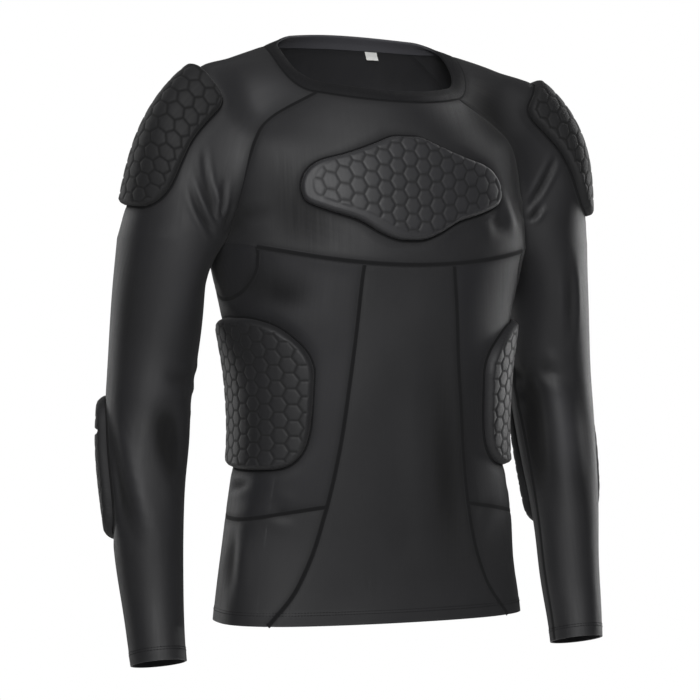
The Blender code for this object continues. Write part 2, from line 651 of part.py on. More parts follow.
def hex_cells(loop):
    """Cells inside an outline: corners of their tops, corners of their borders, and the border lines."""
    centers = hex_centers(loop)
    centers = centers[inside_distance(centers, loop) > PAD_MARGIN]
    angles = np.radians(np.arange(0, 360, 60))
    ring = HEX_PITCH / math.sqrt(3) * np.stack([np.cos(angles), np.sin(angles)], -1)
    borders = np.round(centers[:, None, :] + ring, WELD_DIGITS)
    corners = np.unique(borders.reshape(-1, 2), axis=0)
    corners = corners[inside_distance(corners, loop) > PAD_MARGIN]
    numbers = {tuple(corner): i for i, corner in enumerate(corners)}
    lines = set()
    for border in borders:
        ids = [numbers.get(tuple(corner)) for corner in border]
        lines.update(tuple(sorted(pair)) for pair in zip(ids, ids[1:] + ids[:1]) if None not in pair)
    tops = (centers[:, None, :] + ring * (1 - 2 * CELL_SLOPE / HEX_PITCH)).reshape(-1, 2)
    return tops[inside_distance(tops, loop) > PAD_MARGIN], corners, sorted(lines)


def fill_outline(loop, inner_points, lines):
    """Triangles over an outline, the points inside it and the lines between those, turning left."""
    points = [Vector(point) for point in np.concatenate([loop, inner_points])]
    border = [list(range(len(loop)))]
    kept = [(first + len(loop), second + len(loop)) for first, second in lines]
    flat, _, faces, *_ = delaunay_2d_cdt(points, kept, border, 1, 1e-7)
    flat = np.array([tuple(point) for point in flat])
    triangles = []
    for face in faces:
        triangles.append(face if signed_area(flat[list(face)]) > 0 else face[::-1])
    return flat, np.array(triangles)


def pad_height(flat, loop):
    """Height of a pad's face over its seat: a rounded border, a slight crown and the hexagonal cells."""
    depth = np.maximum(inside_distance(flat, loop), 0)
    border = np.clip(depth / PAD_EDGE, 0, 1)
    crown = PAD_CROWN * (1 - np.exp(-depth / PAD_CROWN_RUN))
    cells = CELL_RELIEF * cell_height(flat) * (depth > CELL_START)
    return PAD_RIM + (PAD_FULL - PAD_RIM) * np.sqrt(border * (2 - border)) + crown + cells


def elbow_height(flat, loop):
    groove = np.clip(np.abs(flat[:, 1] - ELBOW_GROOVE_HEIGHT) / ELBOW_GROOVE_HALF, 0, 1)
    kept = ELBOW_GROOVE_FLOOR + (1 - ELBOW_GROOVE_FLOOR) * groove
    return PAD_RIM + (pad_height(flat, loop) - PAD_RIM) * kept


def laid_on(place, loop, seat, height, face_points, face_lines, seat_points):
    """Closed body that lies on a surface: a shaped face over a plain seat with the same border."""
    face_flat, face_triangles = fill_outline(loop, face_points, face_lines)
    seat_flat, seat_triangles = fill_outline(loop, seat_points, [])
    point, normal = place(face_flat)
    face = point + normal * (seat + height(face_flat))[:, None]
    point, normal = place(seat_flat)
    base = point + normal * seat
    count = len(face)
    face_numbers = {tuple(np.round(flat, WELD_DIGITS)): i for i, flat in enumerate(face_flat)}
    seat_numbers = {tuple(np.round(flat, WELD_DIGITS)): i + count for i, flat in enumerate(seat_flat)}
    rim = []
    for start, end in zip(loop, np.roll(loop, -1, axis=0)):
        first, second = (tuple(np.round(flat, WELD_DIGITS)) for flat in (start, end))
        rim.append((face_numbers[second], face_numbers[first], seat_numbers[first]))
        rim.append((face_numbers[second], seat_numbers[first], seat_numbers[second]))
    triangles = np.concatenate([face_triangles, seat_triangles[:, ::-1] + count, rim])
    return np.concatenate([face, base]), triangles


def hex_pad(place, outline, height, seat):
    loop = closed_curve(outline, OUTLINE_STEP)
    tops, corners, lines = hex_cells(loop)
    face_points = np.concatenate([corners, tops, drawn_in_loop(loop, PAD_EDGE)])
    seat_points = hex_centers(loop)
    seat_points = seat_points[inside_distance(seat_points, loop) > PAD_MARGIN]
    return laid_on(place, loop, seat, lambda flat: height(flat, loop), face_points, lines, seat_points)


def add_pair(name, points, triangles, finish):
    add_node(name + "_left", points, triangles, finish)
    add_node(name + "_right", mirrored(points), triangles[:, ::-1], finish)


def add_chest_pad():
    right = [(-x, y) for x, y in CHEST_HALF_OUTLINE[-2:0:-1]]
    place = chart(front_point, 0, (-1, 1), CHEST_MIDDLE_LEVEL, YOKE_REACH_LEVEL)
    body = hex_pad(place, CHEST_HALF_OUTLINE + tuple(right), pad_height, PAD_SEAT)
    add_node("chest_pad", *body, PAD_CLOTH)


def add_rib_pads():
    place = chart(torso_point, RIB_MIDDLE_ANGLE, (0, math.pi), RIB_MIDDLE_Z, RIB_REACH_Z)
    add_pair("rib_pad", *hex_pad(place, RIB_OUTLINE, pad_height, RIB_SEAT), PAD_CLOTH)


def add_shoulder_pads():
    place = chart(cap_point, 0, (-1, 1), SHOULDER_MIDDLE_LEVEL, YOKE_REACH_LEVEL)
    add_pair("shoulder_pad", *hex_pad(place, SHOULDER_OUTLINE, pad_height, SHOULDER_SEAT), PAD_CLOTH)


def add_elbow_pads():
    place = chart(sleeve_point, ELBOW_MIDDLE_TURN, ELBOW_REACH_TURN, ELBOW_MIDDLE_Z, ELBOW_REACH_Z)
    add_pair("elbow_pad", *hex_pad(place, ELBOW_OUTLINE, elbow_height, ELBOW_SEAT), PAD_CLOTH)


def add_label():
    place = chart(back_point, LABEL_MIDDLE_SHARE, (-1, 1), LABEL_MIDDLE_LEVEL, LABEL_REACH_LEVEL)
    bare = np.zeros((0, 2))
    loop = np.array(LABEL_OUTLINE)
    body = laid_on(place, loop, PAD_SEAT, lambda flat: np.full(len(flat), LABEL_WALL), bare, [], bare)
    add_node("label", *body, LABEL_CLOTH)


def main():
    for old in list(bpy.data.objects):
        bpy.data.objects.remove(old)
    points, normals, panels = sew_cloth()
    finishes = {"neckband": BAND_CLOTH, "side_left": SIDE_CLOTH, "side_right": SIDE_CLOTH,
                "gusset_left": SIDE_CLOTH, "gusset_right": SIDE_CLOTH}
    for name, quads in panels.items():
        wall = BAND_WALL if name == "neckband" else CLOTH_WALL
        add_panel(name, points, normals, quads, wall, finishes.get(name, CLOTH))
    add_label()
    add_chest_pad()
    add_rib_pads()
    add_shoulder_pads()
    add_elbow_pads()


main()
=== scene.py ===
"""Looks of the padded armour shirt: creased cloth, sewn seams and foam cells in a plain white studio.

Metres, +Z up. The front faces -Y and the wearer's left is +X. The first tables and surfaces are those of the
part's source; they are read much finer here.
"""

import math
from collections import namedtuple
from functools import partial

import bpy
import numpy as np
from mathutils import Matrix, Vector
from mathutils.geometry import delaunay_2d_cdt
from mathutils.kdtree import KDTree
from numpy.linalg import norm


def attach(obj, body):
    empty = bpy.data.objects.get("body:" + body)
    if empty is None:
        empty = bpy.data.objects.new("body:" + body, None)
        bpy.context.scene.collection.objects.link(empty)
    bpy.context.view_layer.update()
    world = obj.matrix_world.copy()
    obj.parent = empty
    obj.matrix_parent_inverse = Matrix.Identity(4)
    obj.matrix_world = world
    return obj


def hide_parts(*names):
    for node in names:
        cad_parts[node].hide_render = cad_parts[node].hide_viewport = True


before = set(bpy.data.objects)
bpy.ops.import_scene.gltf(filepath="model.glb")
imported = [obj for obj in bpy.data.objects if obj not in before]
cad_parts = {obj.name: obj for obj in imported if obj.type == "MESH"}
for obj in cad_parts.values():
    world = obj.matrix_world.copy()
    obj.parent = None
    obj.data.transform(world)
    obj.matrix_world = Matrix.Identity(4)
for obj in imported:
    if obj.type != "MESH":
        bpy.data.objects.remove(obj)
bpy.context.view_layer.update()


def table(columns, rows):
    """Rows with named columns."""
    kind = namedtuple("Row", columns)
    return tuple(kind(*row) for row in rows)


# Driving dimensions of the part
CLOTH_WALL = 0.0015
BAND_WALL = 0.0022
SEAM_GAP = 0.0003
BUST_Z = -0.242
FRONT_ARMPIT_LIFT = 0.024
BACK_ARMPIT_LIFT = 0.020
LIFT_FADE = 0.09
TORSO_ROUNDNESS = 2.4
SLEEVE_TOP_Z = -0.222
SLEEVE_FRONT_ANGLE = math.radians(138)
SLEEVE_BACK_ANGLE = math.radians(-146)
OUTER_FADE = 0.10
INNER_FADE = 0.012
HEX_PITCH = 0.017
PAD_FULL = 0.0065
PAD_CROWN = 0.0015
PAD_CROWN_RUN = 0.027

# Girths of the yoke from the neck edge to the bust line, and the shoulder between them
FRONT_ROWS = table("level half reach middle_z seam_x seam_z roundness", (
    (0, .0985, -.083, -.0525, .073, -.0445, 2.0),
    (1, .113, -.094, -.0645, .084, -.055, 2.0),
    (2, .148, -.105, -.098, .132, -.082, 2.1),
    (3, .175, -.113, -.143, .155, -.111, 2.2),
    (4, .181, -.119, -.192, .169, -.170, 2.3),
    (5, .182, -.1215, BUST_Z, .179, BUST_Z + FRONT_ARMPIT_LIFT, TORSO_ROUNDNESS),
))
BACK_ROWS = table("level half reach middle_z seam_x seam_z roundness", (
    (0, .0985, .062, .0245, .073, .0185, 2.0),
    (1, .113, .071, .010, .081, .0065, 2.0),
    (2, .160, .090, -.034, .124, -.032, 2.1),
    (3, .176, .102, -.080, .148, -.076, 2.2),
    (4, .181, .112, -.150, .166, -.145, 2.3),
    (5, .182, .114, BUST_Z, .174, BUST_Z + BACK_ARMPIT_LIFT, TORSO_ROUNDNESS),
))
SHOULDER_ROWS = table("level x y z rise front_crease back_crease", (
    (0, .0985, .017, .002, .62, 0, 0),
    (1, .1135, .015, .0005, .45, 0, 0),
    (2, .160, .001, -.0155, .10, 0, 0),
    (3, .212, -.010, -.036, 0, 5, 5),
    (4, .257, -.008, -.100, 0, 65, 60),
    (5, .281, .018, -.212, 0, 131, 128),
))
NECK_SEAM = 1
BUST_LEVEL = 5
TORSO_ROWS = table("drop half_width front back middle_y", (
    (.242, .1820, .1215, .114, .0000),
    (.256, .1785, .1195, .112, .0000),
    (.272, .1745, .1175, .110, -.0010),
    (.300, .1655, .1145, .107, -.0030),
    (.340, .1568, .1095, .103, -.0050),
    (.390, .1522, .1020, .099, -.0080),
    (.440, .1525, .0940, .097, -.0100),
    (.470, .1565, .0885, .098, -.0115),
    (.520, .1645, .0800, .102, -.0130),
    (.560, .1700, .0755, .105, -.0140),
    (.600, .1745, .0745, .108, -.0140),
    (.630, .1780, .0755, .110, -.0140),
))
SLEEVE_ROWS = table("drop x y half_width half_depth", (
    (.222, .2345, .0220, .0475, .0620),
    (.278, .2365, .0260, .0490, .0600),
    (.360, .2440, .0260, .0475, .0500),
    (.434, .2520, .0215, .0440, .0460),
    (.530, .2545, .0030, .0375, .0390),
    (.605, .2545, -.0110, .0325, .0340),
    (.668, .2520, -.0280, .0290, .0310),
))
PRINCESS_ROWS = table("drop x", (
    (.242, .0527), (.370, .0650), (.440, .0728), (.503, .0848), (.560, .1008), (.600, .1200), (.630, .1434),
))
# Lines round the body: height, sag at the gusset and drop at the sides
BODY_LINES = np.array((
    (BUST_Z, 0, 0), (-.2455, .020, 0), (-.249, .040, 0), (-.270, .034, 0), (-.295, .021, 0),
    (-.321, .010, 0), (-.348, .003, 0), (-.380, 0, 0), (-.416, 0, -.004), (-.456, 0, -.012),
    (-.496, 0, -.021), (-.540, 0, -.012), (-.577, 0, -.004), (-.608, 0, 0), (-.630, 0, 0),
))
GUSSET_LINE = 2
HIP_LINE = 10
GUSSET_FRONT = math.radians(60)
GUSSET_LOWEST = math.radians(88)
GUSSET_BACK_RISE = 0.35
SLEEVE_LINES = (-.222, -.228, -.237, -.255, -.312, -.370, -.405, -.434, -.465, -.510, -.560, -.612, -.668)

# Outlines in metres on the flat: first value towards the wearer's left or back, second up
CHEST_HALF_OUTLINE = ((0, .060), (.016, .059), (.034, .051), (.070, .033), (.097, .020), (.113, .007),
                      (.120, -.008), (.115, -.022), (.092, -.028), (.060, -.034), (.034, -.046),
                      (.016, -.052), (0, -.053))
CHEST_OUTLINE = CHEST_HALF_OUTLINE + tuple((-x, y) for x, y in CHEST_HALF_OUTLINE[-2:0:-1])
RIB_OUTLINE = ((.050, .084), (0, .084), (-.028, .082), (-.054, .073), (-.076, .051), (-.083, .030),
               (-.080, .005), (-.073, -.040), (-.064, -.064), (-.048, -.077), (-.018, -.081), (.045, -.080),
               (.066, -.068), (.074, -.040), (.076, .040), (.068, .070))
SHOULDER_OUTLINE = ((0, .073), (-.028, .075), (-.048, .076), (-.058, .066), (-.060, .045), (-.060, .015),
                    (-.061, -.020), (-.058, -.058), (-.050, -.084), (-.036, -.097), (-.014, -.099),
                    (.014, -.097), (.036, -.092), (.050, -.078), (.058, -.050), (.061, -.010), (.060, .030),
                    (.056, .060), (.040, .072))
ELBOW_OUTLINE = ((0, .079), (-.030, .076), (-.050, .064), (-.058, .036), (-.058, -.010), (-.053, -.052),
                 (-.042, -.074), (-.018, -.083), (.018, -.083), (.042, -.074), (.053, -.052), (.058, -.010),
                 (.058, .036), (.050, .064), (.030, .076))

SMALL = 1e-4
WELD_DIGITS = 6
SHARP_ANGLE = math.radians(50)
CHART_SAMPLES = 60
CHART_ROWS = 90
CURVE_PARTS = 12
AVERAGE_WINDOW = 9

# Fineness of the cloth: columns of each stretch, and parts of each step between the lines above
CENTER_COLUMNS = 34
SIDE_COLUMNS = 28
GUSSET_FRONT_COLUMNS = 14
UNDERARM_COLUMNS = 30
BACK_COLUMNS = 54
CAP_COLUMNS = 130
YOKE_STEPS = 104
BAND_LEVELS = (0, .03, .08, .15, .25, .38, .52, .66, .8, .9, 1)
LINE_PARTS = (7, 7, 7, 8, 8, 9, 10, 11, 13, 13, 14, 12, 10, 7)
SLEEVE_PARTS = (3, 4, 7, 20, 18, 11, 9, 10, 14, 16, 16, 17)
PAIRED_PANELS = ("side", "gusset", "hip", "sleeve")
ARM_PANELS = ("sleeve",)
BODY_PANELS = ("front", "back", "side", "gusset", "hip")

Bend = namedtuple("Bend", "surface side places width depth peak")


def bends(*groups):
    """Bent paths on a surface, on the wearer's sides that are named."""
    return [Bend(surface, side, np.reshape(row[:6], (3, 2)), *row[6:])
            for surface, side, rows in groups for row in rows]


# Creases: three places of a bent path on the surface, half width, depth (less than 0 for a ridge) and where
# along the path it is deepest
CREASES = bends(
    ("cap", "right", (
        (-.86, 4.93, -.70, 4.60, -.57, 4.10, .0042, .0044, .35),
        (-.88, 4.75, -.74, 4.35, -.60, 3.80, .0036, .0042, .35),
        (-.88, 4.62, -.76, 4.15, -.58, 3.52, .0036, .0040, .35),
        (-.90, 4.70, -.87, 4.20, -.84, 3.68, .0034, .0036, .35),
        (-.92, 4.82, -.95, 4.40, -.94, 4.02, .0034, .0032, .40),
        (.97, 4.66, .84, 4.34, .72, 3.92, .0064, .0036, .35),
        (.98, 4.42, .92, 4.00, .86, 3.60, .0055, .0026, .40),
    )),
    ("cap", "left", (
        (-.97, 4.13, -.80, 3.68, -.46, 3.66, .0034, .0036, .45),
        (-.96, 4.43, -.92, 4.27, -.80, 4.08, .0034, .0036, .45),
        (.97, 4.60, .87, 4.20, .76, 3.80, .0060, .0034, .35),
        (.95, 4.97, .70, 4.88, .45, 4.66, .0072, .0026, .40),
    )),
    ("cap", "both", (
        (.96, 4.90, .80, 4.62, .62, 4.20, .0070, .0042, .35),
    )),
    ("sleeve", "right", (
        (-.20, -.388, -.36, -.458, -.56, -.548, .0110, -.0038, .50),
        (-.62, -.382, -.80, -.430, -.95, -.505, .0165, .0066, .50),
        (-.04, -.430, -.20, -.490, -.42, -.570, .0100, .0026, .50),
        (-1.0, -.372, -.82, -.362, -.58, -.366, .0080, .0026, .30),
    )),
    ("sleeve", "left", (
        (-1.0, -.352, -.80, -.366, -.55, -.374, .0085, .0026, .30),
        (-.58, -.226, -.60, -.276, -.62, -.336, .0060, .0026, .50),
        (2.82, -.320, 2.60, -.425, 2.20, -.535, .0150, .0056, .50),
        (-.84, -.330, -.70, -.430, -.82, -.570, .0140, -.0036, .50),
        (.95, -.300, 1.2, -.330, 1.6, -.340, .0090, .0026, .50),
    )),
    ("sleeve", "both", (
        (1.9, -.352, 2.2, -.366, 2.6, -.372, .0075, .0030, .50),
        (2.0, -.382, 2.3, -.392, 2.7, -.390, .0070, .0024, .50),
    )),
    ("torso", "right", (
        (1.78, -.487, 1.56, -.479, 1.28, -.476, .0060, .0034, .50),
        (1.52, -.512, 1.49, -.560, 1.44, -.615, .0105, .0030, .50),
        (1.10, -.280, .85, -.286, .55, -.278, .0150, .0024, .40),
        (1.10, -.498, .90, -.508, .72, -.512, .0080, .0016, .50),
        (2.05, -.410, 2.50, -.420, 3.05, -.412, .0120, .0030, .45),
        (2.20, -.452, 2.50, -.448, 2.80, -.456, .0095, .0026, .50),
    )),
    ("torso", "left", (
        (1.70, -.482, 1.45, -.478, 1.20, -.486, .0065, .0030, .50),
        (1.40, -.520, 1.30, -.560, 1.34, -.615, .0110, .0024, .50),
        (.22, -.280, .30, -.430, .44, -.615, .0180, .0030, .60),
        (.86, -.500, .70, -.512, .55, -.530, .0090, .0014, .50),
        (2.10, -.424, 2.45, -.440, 2.90, -.436, .0110, .0030, .45),
        (2.25, -.470, 2.55, -.462, 2.85, -.470, .0100, .0024, .50),
    )),
    ("front", "left", (
        (.60, 3.55, .70, 4.05, .70, 4.75, .0080, -.0026, .50),
        (.50, 3.85, .56, 4.20, .55, 4.70, .0090, .0018, .50),
        (.98, 4.30, .88, 4.15, .76, 3.85, .0070, .0020, .30),
    )),
    ("front", "right", (
        (.98, 4.40, .86, 4.30, .70, 4.05, .0070, .0018, .30),
    )),
    ("back", "left", (
        (.98, 4.55, .80, 4.40, .52, 4.10, .0095, .0028, .25),
    )),
    ("back", "right", (
        (.98, 4.40, .78, 4.30, .48, 4.15, .0090, .0026, .25),
        (.97, 4.80, .80, 4.75, .60, 4.60, .0080, .0022, .25),
    )),
)
# Broad soft painted shade on the cloth, written like creases, with the share of the tone that it takes as
# depth; a share below 0 is painted light instead
SHADES = bends(
    ("cap", "left", (
        (-.95, 1.00, -.75, 1.80, -.80, 3.40, .036, .58, .40),
    )),
    ("front", "left", (
        (.75, 1.00, .94, 2.00, .97, 3.50, .030, .52, .45),
    )),
    ("cap", "right", (
        (-.95, 1.00, -.60, 1.80, -.50, 2.90, .034, -.30, .45),
        (-.97, 4.20, -.97, 4.70, -.97, 4.98, .010, .45, .60),
    )),
    ("front", "right", (
        (.97, 3.50, .96, 4.30, .93, 4.98, .013, .60, .65),
        (.84, 3.00, .74, 3.90, .30, 4.80, .034, .46, .65),
    )),
    ("torso", "right", (
        (1.40, -.258, 1.02, -.286, .50, -.280, .027, .55, .40),
    )),
    ("torso", "left", (
        (.34, -.262, .46, -.440, .56, -.660, .036, .50, .55),
    )),
    ("sleeve", "right", (
        (-.66, -.365, -.80, -.435, -.94, -.540, .021, .32, .50),
        (-.20, -.224, -.22, -.285, -.22, -.360, .016, .36, .50),
        (-.66, -.224, -.68, -.275, -.70, -.345, .015, -.32, .50),
    )),
    ("sleeve", "left", (
        (-.86, -.340, -.70, -.430, -.84, -.520, .017, -.55, .50),
        (2.90, -.290, 2.55, -.430, 2.02, -.550, .021, .50, .45),
    )),
)
CREASE_SAMPLES = 45
CREASE_REACH = 4.5
RIDGE_SHARE = 0.40
RIDGE_AT = 1.9
RIDGE_WIDTH = 0.9
OTHER_CLOTH_REACH = 0.012
# Painted shade in the crease troughs and painted highlight on their ridges, full at the depth below
CREASE_SHADE = 0.60
CREASE_LIGHT = 0.30
CREASE_SHADE_DEPTH = 0.0040

# Slow unevenness of the whole cloth
WAVES = table("way length height start", (
    ((.55, .30, .78), .120, .00050, .4),
    ((-.62, .45, .64), .086, .00036, 1.9),
    ((.85, -.40, .35), .150, .00046, 3.1),
))

SEAM_TROUGH = 0.0007
SEAM_TROUGH_WIDTH = 0.0042
# Painted shade on the cloth along the seams
SEAM_SHADE = 0.32
SEAM_SHADE_WIDTH = 0.0050
DARKEST = 0.25
PAD_TROUGH = 0.0012
PAD_TROUGH_WIDTH = 0.0034
PAD_SINK = 0.0005
PAD_CALM = 0.012
# Painted shadow on the cloth round the foot of each pad
PAD_SHADE = 0.35
PAD_SHADE_WIDTH = 0.0055
FOLDED_EDGE = 0.0145
FOLDED_WALL = 0.0007
FOLD_STEP = 0.0016
BAND_BULGE = 0.0005
BAND_ROUND = 0.0016
BAND_EDGE_SHARE = 0.06
EDGE_LIGHT = 0.25
BAND_INSIDE_TONE = 7.0
INSIDE_TONE = 1.35

# Widest and longest run of each panel as it was cut, a little less each way than when worn
CUT_SHARE = 0.95
PANEL_CUTS = {"neckband": (.60, .018), "front_yoke": (.415, .20), "back": (.378, .638),
              "front_center": (.28, .39), "side": (.23, .276), "gusset": (.135, .057),
              "hip": (.154, .138), "sleeve": (.358, .74)}

# Sewing
STRIP_STEP = 0.0011
SEAM_WIDTH = 0.0062
PAD_LINE_WIDTH = 0.0044
PAD_LINE_OUT = 0.0010
STRIP_HEIGHT = 0.00040
STRIP_ACROSS = (-1, -.86, -.55, -.18, .18, .55, .86, 1)
STRIP_FEET = (.7, -.7)
STRIP_CORE = 0.55
STRIP_TONE = 0.42
THREAD_PITCH = 0.0022
THREAD_SLANT = 0.7
THREAD_RELIEF = 0.00012
STITCH_PITCH = 0.0034
STITCH_LENGTH = 0.0026
STITCH_RADIUS = 0.00036
STITCH_SIDES = 6
# Rings of a stitch: share of its length, size and rise in radii
STITCH_RINGS = ((0, .45, -.6), (.2, .95, .25), (.5, 1, .45), (.8, .95, .25), (1, .45, -.6))
HEM_STITCH_RISE = (0.0118, 0.0146)

# Blank tag inside the back neck
LABEL_PLACE = (.39, (-1, 1), 1.15, (2, NECK_SEAM))
LABEL_HALF = (0.007, 0.005)
LABEL_CELLS = (14, 10)
LABEL_WALL = 0.0005
LABEL_CURL = 0.0007
LABEL_CURL_START = 0.1

# Pads
PAD_STEP = 0.0014
PAD_SEAT_STEP = 0.006
LATTICE_CLEAR = 0.7
FILL_INSIDE = 1
FILL_WELD = 1e-7
PAD_BASE = CLOTH_WALL / 2 + 0.0001
PAD_SKIRT = 0.0008
PAD_EDGE = 0.0042
CELL_START = 0.0030
CELL_FADE = 0.0022
CELL_SLOPE = 0.0021
CELL_DOME = 0.30
# Share of a pad's tone left in the grooves between its cells: painted shade
GROOVE_SHADE = 0.40
ELBOW_GROOVE_HEIGHT = 0.036
ELBOW_GROOVE_HALF = 0.0042
ELBOW_GROOVE_FLOOR = 0.30
ELBOW_GROOVE_END = 0.016
# A shift keeps the cells that much further from the border on that side and brings them nearer on the other
PadLook = namedtuple("PadLook", "seat relief tone shift groove_height")
# The tones are painted light and shade on one and the same foam: the chest pad painted lighter, the shoulder
# and elbow pads painted darker
LOOKS = {
    "chest": PadLook(.0009, .0007, 1.45, (-.009, -.004), None),
    "rib": PadLook(.0017, .0009, .90, (0, 0), None),
    "shoulder": PadLook(.0013, .0010, .60, (0, 0), None),
    "elbow": PadLook(.0016, .0010, .62, (0, 0), ELBOW_GROOVE_HEIGHT),
}

# Finish of a cloth: colour, roughness, sheen, gloss, length of a loop of the knit and height of its relief
Finish = namedtuple("Finish", "color roughness sheen gloss loop relief")
FINISHES = {
    "cloth": Finish((.0170, .0170, .0185), .52, .05, .34, .0011, .00010),
    "side_cloth": Finish((.0150, .0150, .0170), .54, .05, .32, .0015, .00016),
    "neckband": Finish((.0085, .0085, .0095), .62, .03, .18, .0017, .00022),
    "pad": Finish((.0180, .0180, .0195), .48, .05, .36, .0012, .00008),
    "thread": Finish((.0160, .0160, .0175), .62, .03, .25, .0006, .00006),
    "label": Finish((.80, .80, .78), .70, .10, .30, .0007, .00006),
}
PANEL_SLOTS = {"neckband": "neckband", "side": "side_cloth", "gusset": "side_cloth"}
DARK_ROUGHNESS = 0.60
SHEEN_ROUGHNESS = 0.45
ROWS_PER_LOOP = 1.3
LOOP_LOW = 0.55
# Noises: scale and detail
STREAK_STRETCH = (420, 16, 1)
STREAK_NOISE = (1, 2)
STREAK_RANGE = (.25, .75)
STREAK_ROUGHNESS = (-.05, .06)
STREAK_RELIEF = 0.4
PATCH_NOISE = (14, 3)
PATCH_RANGE = (.3, .7)
PATCH_SHARES = (.88, 1.10)
FUZZ_NOISE = (900, 2)
FUZZ_RANGE = (.62, .80)
FUZZ_MOST = 0.5
FUZZ_SHARE = 1.7
RELIEF_STRENGTH = 0.5

# Camera: turned round the shirt as in the photo
CAMERA_TURN = math.radians(-23)
CAMERA_DISTANCE = 2.6
CAMERA_SIDE = -0.0179
CAMERA_Z = -0.316
CAMERA_PITCH = math.radians(-0.4)
CAMERA_LENS = 119.4
CAMERA_SENSOR = 36
RIGHT = np.array([math.cos(CAMERA_TURN), math.sin(CAMERA_TURN), 0])
FORWARD = np.array([-math.sin(CAMERA_TURN), math.cos(CAMERA_TURN), 0])

# Soft boxes as seen from the camera: right, forward and up of the shirt's middle, size and watts
SOFT_BOXES = table("name right forward up width height watts", (
    ("key", .15, -2.6, .6, 1.3, 1.3, 58),
    ("high", -.5, -2.0, 1.7, 1.3, 1.1, 15),
    ("rim_left", -1.7, 1.25, .15, .5, 2.0, 14),
    ("rim_right", 1.6, 1.35, .15, .5, 2.0, 29),
    ("top", 0, .25, 2.0, 1.4, 1.0, 4),
))
LIGHT_AIM = (0, 0, -.33)
AMBIENT = 0.02
FLOOR_Z = -1.45
FLOOR_RADIUS = 4.5
FLOOR_SIDES = 96
FLOOR_FADE = (.45, .97)
FLOOR_COLOR = (.86, .86, .85, 1)
FLOOR_ROUGHNESS = 0.8


def matched(first, second):
    return np.broadcast_arrays(np.asarray(first, float), np.asarray(second, float))


def unit(ways):
    return ways / norm(ways, axis=-1, keepdims=True)


def mirrored(points):
    return points * np.array([-1, 1, 1])


def with_images(paths):
    return [*paths, *map(mirrored, paths)]


def eased(share):
    """0 to 1 with soft ends."""
    share = np.clip(share, 0, 1)
    return share * share * (3 - 2 * share)


def near_to(distance, width):
    """1 on a line, dying away from it over the width."""
    return np.exp(-(distance / width) ** 2)


def stepped(places, counts):
    """Places with each step between two of them cut into its own count of equal parts."""
    spans = [np.linspace(low, high, count, endpoint=False)
             for low, high, count in zip(places, places[1:], counts)]
    return np.concatenate([*spans, places[-1:]])


def running(points, axis=0):
    """Length up to each point of a path, or of a grid along one of its axes."""
    steps = norm(np.diff(points, axis=axis), axis=-1)
    start = np.zeros_like(np.take(steps, [0], axis=axis))
    return np.concatenate([start, np.cumsum(steps, axis=axis)], axis=axis)


def evenly(path, step, closed=False):
    """A path cut into even steps, without its last point where it closes."""
    total = running(path)
    places = np.linspace(0, total[-1], round(total[-1] / step), endpoint=not closed)
    return np.stack([np.interp(places, total, values) for values in path.T], -1)


def bent(start, start_way, end, end_way, part):
    """Smooth curve from start to end that leaves and arrives along the given ways."""
    rest = 1 - part
    ends = start * (1 + 2 * part) * rest ** 2 + end * (3 - 2 * part) * part ** 2
    return ends + part * rest * (start_way * rest - end_way * part)


def read_rows(rows, at):
    """All columns of a table, read smoothly at places of its first column."""
    knots, *columns = (np.array(column, float) for column in zip(*rows))
    at = np.clip(np.asarray(at, float), knots[0], knots[-1])
    low = np.clip(np.searchsorted(knots, at, side="right") - 1, 0, len(knots) - 2)
    step = knots[low + 1] - knots[low]
    part = (at - knots[low]) / step
    read = [at]
    for values in columns:
        slopes = np.gradient(values, knots)
        read.append(bent(values[low], step * slopes[low], values[low + 1], step * slopes[low + 1], part))
    return type(rows[0])(*read)


def turned(ways, degrees):
    """Ways turned about the upright axis."""
    angle = np.radians(degrees)
    x, y, z = np.moveaxis(ways, -1, 0)
    return np.stack([x * np.cos(angle) - y * np.sin(angle), x * np.sin(angle) + y * np.cos(angle), z], -1)


def arc_between(start, start_way, end, end_way, share):
    """Arc from start to end, pulled along both ways as far as its turning asks."""
    chord = norm(end - start, axis=-1, keepdims=True)
    turning = np.arccos(np.clip((start_way * end_way).sum(-1, keepdims=True), -1, 1))
    pull = chord / np.cos(turning / 4) ** 2
    return bent(start, pull * start_way, end, pull * end_way, share[..., None])


def girth_point(rows, share, level):
    """Point of a front or back girth, from its middle (share 0) to its raglan seams (share -1 and 1)."""
    share, level = matched(share, level)
    row = read_rows(rows, level)
    seam_sine = row.seam_x / row.half
    sine = np.sin(np.abs(share) * np.arcsin(seam_sine))
    y = row.reach * (1 - sine ** row.roundness) ** (1 / row.roundness)
    z = row.middle_z + (row.seam_z - row.middle_z) * (sine / seam_sine) ** 2
    return np.stack([np.sign(share) * row.half * sine, y, z], -1)


front_point = partial(girth_point, FRONT_ROWS)
back_point = partial(girth_point, BACK_ROWS)


def cap_point(turn, level):
    """Point of the left sleeve cap: turn -1 at the front seam, 0 on the shoulder, 1 at the back seam."""
    turn, level = matched(turn, level)
    row = read_rows(SHOULDER_ROWS, level)
    front_seam, back_seam = front_point(1, level), back_point(1, level)
    front_way = turned(unit(front_seam - front_point(1 - SMALL, level)), -row.front_crease)
    back_way = turned(unit(back_point(1 - SMALL, level) - back_seam), row.back_crease)
    top = np.stack([row.x, row.y, row.z], -1)
    over = unit(np.stack([np.zeros_like(level), np.ones_like(level), row.rise], -1))
    front_half = arc_between(front_seam, front_way, top, over, turn + 1)
    back_half = arc_between(top, over, back_seam, back_way, turn)
    return np.where((turn < 0)[..., None], front_half, back_half)


FRONT_ARMPIT = math.asin(FRONT_ROWS[BUST_LEVEL].seam_x / FRONT_ROWS[BUST_LEVEL].half)
BACK_ARMPIT = math.pi - math.asin(BACK_ROWS[BUST_LEVEL].seam_x / BACK_ROWS[BUST_LEVEL].half)


